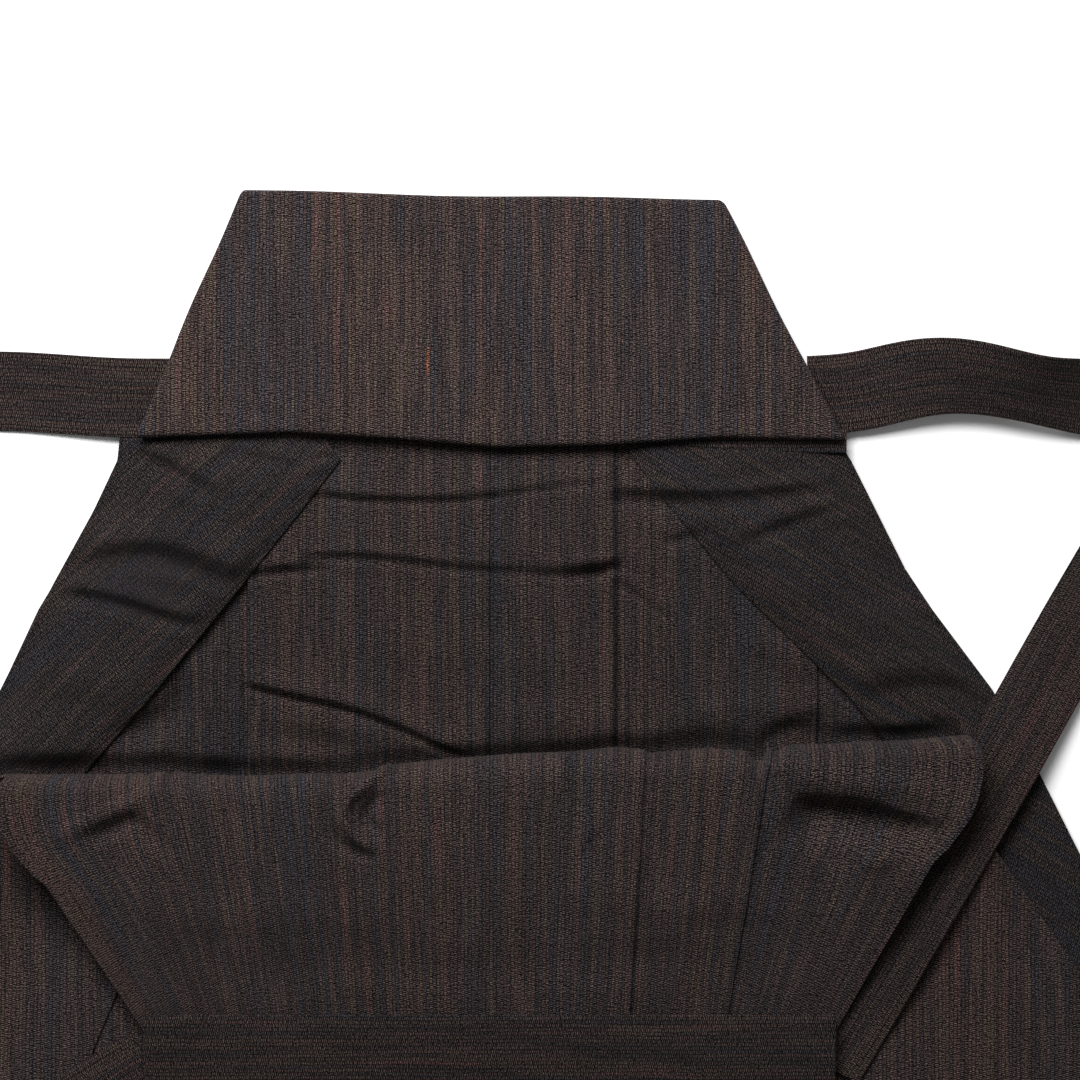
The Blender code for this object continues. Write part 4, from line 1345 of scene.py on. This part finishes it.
class HAKAMA_OT_bands(bpy.types.Operator):
    """Sew on the front and back waistbands"""

    bl_idname = "hakama.bands"
    bl_label = "Waistbands"

    def execute(self, context):
        start, end = BACK_BAND_EDGE[0][0], BACK_BAND_EDGE[-1][0]
        rim = CLOTH * RIM_SHARE
        x = spread(start, end, 2.5, rim)
        low = line_at(BACK_BAND_EDGE, x)
        share = np.concatenate([RIM_STEPS * 0.1, [0.1, 0.5, 0.9], 1 - (RIM_STEPS * 0.1)[::-1]])[:, None]
        y = CENTRE_TOP + (low - CENTRE_TOP)[None, :] * share
        x = np.repeat(x[None, :], len(share), axis=0)
        away = np.minimum(np.minimum(x - start, end - x), np.minimum(share, 1 - share) * 6)
        grid = np.stack([x, y, np.full(x.shape, BAND_LEVEL + CLOTH / 2)], axis=-1)
        piece = shell("back_waist_band_cloth", grid, upwards(grid), CLOTH * rounding(away, rim),
                      turned_chart(x, y, WARP_ACROSS), cloth("striped cloth"))
        finished(piece, "back_waist_band")

        rows = np.array(FRONT_BAND_ROWS, float)
        long = rows[0, 0] - rows[-1, 0]
        rim = BAND_CLOTH / 2
        down = spread(0.0, long, 2.5, rim)
        x = spread(-FRONT_BAND_HALF, FRONT_BAND_HALF, 3.0, rim)
        x, down = np.meshgrid(x, down)
        y = rows[0, 0] - down
        table = softened(rows, 2)[::-1]
        z = np.interp(y, table[:, 0], table[:, 1]) + BAND_CLOTH / 2
        ends = np.minimum(x + FRONT_BAND_HALF, FRONT_BAND_HALF - x)
        away = np.minimum(ends, np.minimum(down, long - down))
        z = z + 0.3 * ripple(x, y, 8.0, 60) * rounding(away, 10)
        grid = np.stack([x, y, z], axis=-1)
        piece = shell("front_waist_band_cloth", grid, normals_of(grid), BAND_CLOTH * rounding(away, rim),
                      # the front waistband takes the ties' cloth, with its painted shade
                      turned_chart(x, y, WARP_ACROSS), cloth("striped cloth of the ties"))
        finished(piece, "front_waist_band")
        return {"FINISHED"}


def left_of(direction):
    return Vector((-direction.y, direction.x, 0.0))


def tie_stations(route, half):
    """Stations of a tie as (middle, reach to its edge, normal, pinned), with its flat folds rounded."""
    stations = []
    facing = 1.0
    for index, way in enumerate(route):
        place = Vector((way.x, way.y, way.z + TIE_CLOTH / 2))
        last, following = route[max(index - 1, 0)], route[min(index + 1, len(route) - 1)]
        arriving = Vector((way.x - last.x, way.y - last.y, 0.0)).normalized()
        leaving = Vector((following.x - way.x, following.y - way.y, 0.0)).normalized()
        if way.fold:
            line = arriving + leaving
            line = line.normalized() if line.length > 0.01 else left_of(arriving)
            reach = line * (half / left_of(arriving).dot(line)) * facing
            outward = (arriving - line * arriving.dot(line)).normalized()
            for step in range(TIE_FOLD_STEPS + 1):
                angle = math.pi * step / TIE_FOLD_STEPS
                middle = place + outward * math.sin(angle) * TIE_FOLD_RISE / 2
                middle.z += (1 - math.cos(angle)) * TIE_FOLD_RISE / 2
                normal = Vector((0, 0, math.cos(angle))) - outward * math.sin(angle)
                stations.append((middle, reach.copy(), normal * facing, True))
            facing = -facing
            continue
        along = (arriving + leaving).normalized()
        lean = math.radians(way.lean)
        side = left_of(along) * facing * math.cos(lean) + Vector((0, 0, math.sin(lean)))
        normal = Vector((0, 0, facing * math.cos(lean))) - left_of(along) * math.sin(lean)
        place.z += half * math.sin(lean)
        stations.append((place, side * half, normal, False))
    return stations


def tie_line(route, half, step):
    """Close stations along a tie: middles, reaches, normals and lengths, smooth between its folds."""
    stations = tie_stations(route, half)
    middles, reaches, normals, pinned = [], [], [], []
    for first, second in zip(stations, stations[1:]):
        count = max(int((second[0] - first[0]).length / step), 1)
        for share in range(count):
            share = share / count
            middles.append(first[0].lerp(second[0], share))
            reaches.append(first[1].lerp(second[1], share))
            normals.append(first[2].lerp(second[2], share))
            pinned.append(share == 0 and first[3])
    middles.append(stations[-1][0])
    reaches.append(stations[-1][1])
    normals.append(stations[-1][2])
    pinned.append(True)
    pinned[0] = True
    middles, reaches, normals = np.array(middles), np.array(reaches), np.array(normals)
    held = np.array(pinned)
    for _ in range(TIE_SMOOTHING):
        for values in (middles, reaches, normals):
            average = (values[:-2] + 2 * values[1:-1] + values[2:]) / 4
            values[1:-1] = np.where(held[1:-1, None], values[1:-1], average)
    normals = normals / np.linalg.norm(normals, axis=1, keepdims=True)
    run = np.linalg.norm(np.diff(middles, axis=0), axis=1)
    return middles, reaches, normals, np.concatenate([[0.0], np.cumsum(run)])


class HAKAMA_OT_ties(bpy.types.Operator):
    """Lay the four ties, folded over themselves beside the garment"""

    bl_idname = "hakama.ties"
    bl_label = "Ties"

    def execute(self, context):
        crease = context.scene.hakama_shape.crease
        # the ties' cloth is darkened with painted shade
        stuff = cloth("striped cloth of the ties")
        rim = TIE_CLOTH * 0.5
        pieces = (
            ("back_tie_left", BACK_TIE_LEFT, BACK_TIE_WIDTH),
            ("back_tie_right", BACK_TIE_RIGHT, BACK_TIE_WIDTH),
            ("front_tie_left", FRONT_TIE_LEFT, FRONT_TIE_WIDTH),
            ("front_tie_right", FRONT_TIE_RIGHT, FRONT_TIE_WIDTH),
        )
        for name, route, width in pieces:
            middles, reaches, normals, length = tie_line(route, width / 2, 3.0)
            marks = with_rim(list(length), rim, (0.0, length[-1]))
            middle, reach, normal = (
                np.stack([np.interp(marks, length, values[:, axis]) for axis in range(3)], axis=-1)
                for values in (middles, reaches, normals))
            across = spread(-width / 2, width / 2, 2.6, rim)
            share = (across / (width / 2))[None, :, None]
            grid = middle[:, None, :] + reach[:, None, :] * share
            face = np.repeat(normal[:, None, :], len(across), axis=1)
            face = face / np.linalg.norm(face, axis=2, keepdims=True)
            side = np.repeat(across[None, :], len(marks), axis=0)
            way = np.repeat(marks[:, None], len(across), axis=1)
            away = np.minimum(width / 2 - np.abs(side), np.minimum(way, length[-1] - way))
            slack = 0.28 * crease * ripple(way, side, len(name) * 1.0, 54) * smooth(away / 6)
            chart = np.stack([side, way], axis=-1) * MM
            grid = grid + face * slack[..., None]
            full = TIE_CLOTH * rounding(away, rim)
            piece = shell(name + "_cloth", grid, face, full, chart, stuff)
            finished(piece, name)
        return {"FINISHED"}


def stitch_tree():
    """Geometry Nodes tree that lays stitches along the edges of a mesh, each a little out of line."""
    group = bpy.data.node_groups.new("hakama stitches", "GeometryNodeTree")
    face = group.interface
    face.new_socket(name="Runs", in_out="INPUT", socket_type="NodeSocketGeometry")
    for name in ("Spacing", "Stitch length", "Thread width", "Unevenness"):
        face.new_socket(name=name, in_out="INPUT", socket_type="NodeSocketFloat")
    face.new_socket(name="Seed", in_out="INPUT", socket_type="NodeSocketInt")
    face.new_socket(name="Thread", in_out="INPUT", socket_type="NodeSocketMaterial")
    face.new_socket(name="Stitches", in_out="OUTPUT", socket_type="NodeSocketGeometry")
    tree = Tree(group)
    runs, spacing, long, thin, uneven, seed, thread = (
        tree.add("NodeGroupInput", {}, {}, index) for index in range(7))
    lines = tree.add("GeometryNodeMeshToCurve", {}, {"Mesh": runs})
    places = tree.add("GeometryNodeCurveToPoints", {"mode": "LENGTH"}, {"Curve": lines, "Length": spacing})
    ahead = Wire(tree, places.socket.node.outputs["Tangent"])
    settings = {"data_type": "FLOAT_VECTOR"}
    shift = tree.add("FunctionNodeRandomValue", settings, {0: (-1, -1, 0), 1: (1, 1, 0), "Seed": seed})
    small = tree.add("ShaderNodeVectorMath", {"operation": "SCALE"}, {0: shift, "Scale": uneven})
    moved = tree.add("GeometryNodeSetPosition", {}, {"Geometry": places, "Offset": small})
    swing = tree.add("ShaderNodeVectorMath", {"operation": "SCALE"}, {0: shift, "Scale": 0.3})
    aim = tree.add("ShaderNodeVectorMath", {"operation": "ADD"}, {0: ahead, 1: swing})
    turn = tree.add("FunctionNodeAlignRotationToVector", {"axis": "Z"}, {"Vector": aim})
    stitch = tree.add("GeometryNodeMeshUVSphere", {}, {"Segments": 6, "Rings": 4, "Radius": 0.5})
    size = tree.add("ShaderNodeCombineXYZ", {}, {"X": thin, "Y": thin, "Z": long})
    inputs = {"Points": moved, "Instance": stitch, "Rotation": turn, "Scale": size}
    laid = tree.add("GeometryNodeInstanceOnPoints", {}, inputs)
    real = tree.add("GeometryNodeRealizeInstances", {}, {0: laid})
    painted = tree.add("GeometryNodeSetMaterial", {}, {"Geometry": real, "Material": thread})
    tree.add("NodeGroupOutput", {}, {0: painted})
    return group


def dropped(piece, points):
    """Close points along a line, in metres, laid on the piece from above."""
    points = np.array(points, float)
    run = np.hypot(*np.diff(points, axis=0).T)
    along = np.concatenate([[0.0], np.cumsum(run)])
    places = np.linspace(0, along[-1], max(int(along[-1] / STITCH_RUN_STEP), 1) + 1)
    laid = []
    for place in places:
        x, y = np.interp(place, along, points[:, 0]), np.interp(place, along, points[:, 1])
        start = Vector(placed((x, y, 80.0)))
        hit, spot, _, _ = piece.ray_cast(start, Vector((0, 0, -1)))
        if hit:
            laid.append(spot)
    return laid


class HAKAMA_OT_stitches(bpy.types.Operator):
    """Sew the board, the hems, the front waistband and the folded-in flaps"""

    bl_idname = "hakama.stitches"
    bl_label = "Stitches"

    def execute(self, context):
        shape = context.scene.hakama_shape
        points, edges = [], []
        context.view_layer.update()
        for run in STITCH_RUNS:
            laid = dropped(bpy.data.objects[run.piece], run.points)
            first = len(points)
            points += laid
            edges += [(first + index, first + index + 1) for index in range(len(laid) - 1)]
        mesh = bpy.data.meshes.new("stitch runs")
        mesh.from_pydata(points, edges, [])
        runs = bpy.data.objects.new("stitch runs", mesh)
        context.scene.collection.objects.link(runs)
        values = {
            "Spacing": shape.stitch_spacing,
            "Stitch length": shape.stitch_length,
            "Thread width": 0.0005,
            "Unevenness": 0.0004,
            "Seed": 11,
            "Thread": plain_thread("sewing thread", (0.050, 0.042, 0.040), 0.7),
        }
        modifier = runs.modifiers.new("stitches", "NODES")
        modifier.node_group = stitch_tree()
        for socket in modifier.node_group.interface.items_tree:
            if socket.name in values:
                modifier[socket.identifier] = values[socket.name]
        made = bpy.data.meshes.new_from_object(runs.evaluated_get(context.evaluated_depsgraph_get()))
        bpy.data.objects.remove(runs)
        made.shade_smooth()
        piece = bpy.data.objects.new("stitches", made)
        context.scene.collection.objects.link(piece)
        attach(piece, BODY)
        return {"FINISHED"}


class HAKAMA_OT_stage(bpy.types.Operator):
    """Set out the pale floor, the soft light and the camera over the garment"""

    bl_idname = "hakama.stage"
    bl_label = "Floor, light and camera"

    def execute(self, context):
        stage = context.scene.hakama_stage
        material = bpy.data.materials.new("pale floor")
        material.use_nodes = True
        material.node_tree.nodes.clear()
        tree = Tree(material.node_tree)
        shine = {"Base Color": (*stage.floor, 1.0), "Roughness": 0.9, "Specular IOR Level": 0.2}
        surface = tree.add("ShaderNodeBsdfPrincipled", {}, shine)
        tree.add("ShaderNodeOutputMaterial", {}, {"Surface": surface})
        mesh = bpy.data.meshes.new("floor")
        reach = 4.0
        corners = [(-reach, -reach, 0), (reach, -reach, 0), (reach, reach, 0), (-reach, reach, 0)]
        mesh.from_pydata(corners, [], [(0, 1, 2, 3)])
        mesh.materials.append(material)
        floor = bpy.data.objects.new("floor", mesh)
        floor.location.z = -FLOOR_DROP
        context.scene.collection.objects.link(floor)

        world = bpy.data.worlds.new("soft sky")
        world.use_nodes = True
        world.node_tree.nodes["Background"].inputs[0].default_value = (1.0, 1.0, 1.0, 1.0)
        world.node_tree.nodes["Background"].inputs[1].default_value = stage.sky
        context.scene.world = world

        centre = Vector(placed(VIEW_CENTRE))
        light = bpy.data.lights.new("key", "AREA")
        light.shape = "RECTANGLE"
        light.size = 0.9
        light.size_y = 0.6
        light.energy = stage.key
        key = bpy.data.objects.new("key", light)
        key.location = centre + Vector(KEY_PLACE)
        key.rotation_euler = (centre - key.location).to_track_quat("-Z", "Y").to_euler()
        context.scene.collection.objects.link(key)

        lens = bpy.data.cameras.new("camera")
        lens.sensor_width = SENSOR_WIDTH
        lens.lens = SENSOR_WIDTH * stage.distance / stage.view_width
        camera = bpy.data.objects.new("camera", lens)
        camera.location = centre + Vector((0.0, 0.0, stage.distance))
        context.scene.collection.objects.link(camera)
        context.scene.camera = camera
        context.scene.view_settings.view_transform = "Standard"
        return {"FINISHED"}


PIECES = ("backs", "flaps", "legs", "roll", "core", "board", "bands", "ties", "stitches", "stage")


class HAKAMA_PT_panel(bpy.types.Panel):
    """The garment's pieces and settings"""

    bl_label = "Hakama"
    bl_idname = "HAKAMA_PT_panel"
    bl_space_type = "VIEW_3D"
    bl_region_type = "UI"
    bl_category = "Hakama"

    def draw(self, context):
        for name in PIECES:
            self.layout.operator("hakama." + name)
        for group in ("hakama_shape", "hakama_cloth", "hakama_stage"):
            settings = getattr(context.scene, group)
            box = self.layout.box()
            for key in settings.bl_rna.properties.keys():
                if key not in ("rna_type", "name"):
                    box.prop(settings, key)


CLASSES = (
    HakamaShape,
    HakamaCloth,
    HakamaStage,
    HAKAMA_OT_backs,
    HAKAMA_OT_flaps,
    HAKAMA_OT_legs,
    HAKAMA_OT_roll,
    HAKAMA_OT_core,
    HAKAMA_OT_board,
    HAKAMA_OT_bands,
    HAKAMA_OT_ties,
    HAKAMA_OT_stitches,
    HAKAMA_OT_stage,
    HAKAMA_PT_panel,
)


def register():
    for each in CLASSES:
        bpy.utils.register_class(each)
    bpy.types.Scene.hakama_shape = bpy.props.PointerProperty(type=HakamaShape)
    bpy.types.Scene.hakama_cloth = bpy.props.PointerProperty(type=HakamaCloth)
    bpy.types.Scene.hakama_stage = bpy.props.PointerProperty(type=HakamaStage)


def unregister():
    del bpy.types.Scene.hakama_stage
    del bpy.types.Scene.hakama_cloth
    del bpy.types.Scene.hakama_shape
    for each in reversed(CLASSES):
        bpy.utils.unregister_class(each)


def main():
    register()
    for name in PIECES:
        getattr(bpy.ops.hakama, name)()


if __name__ == "__main__":
    main()
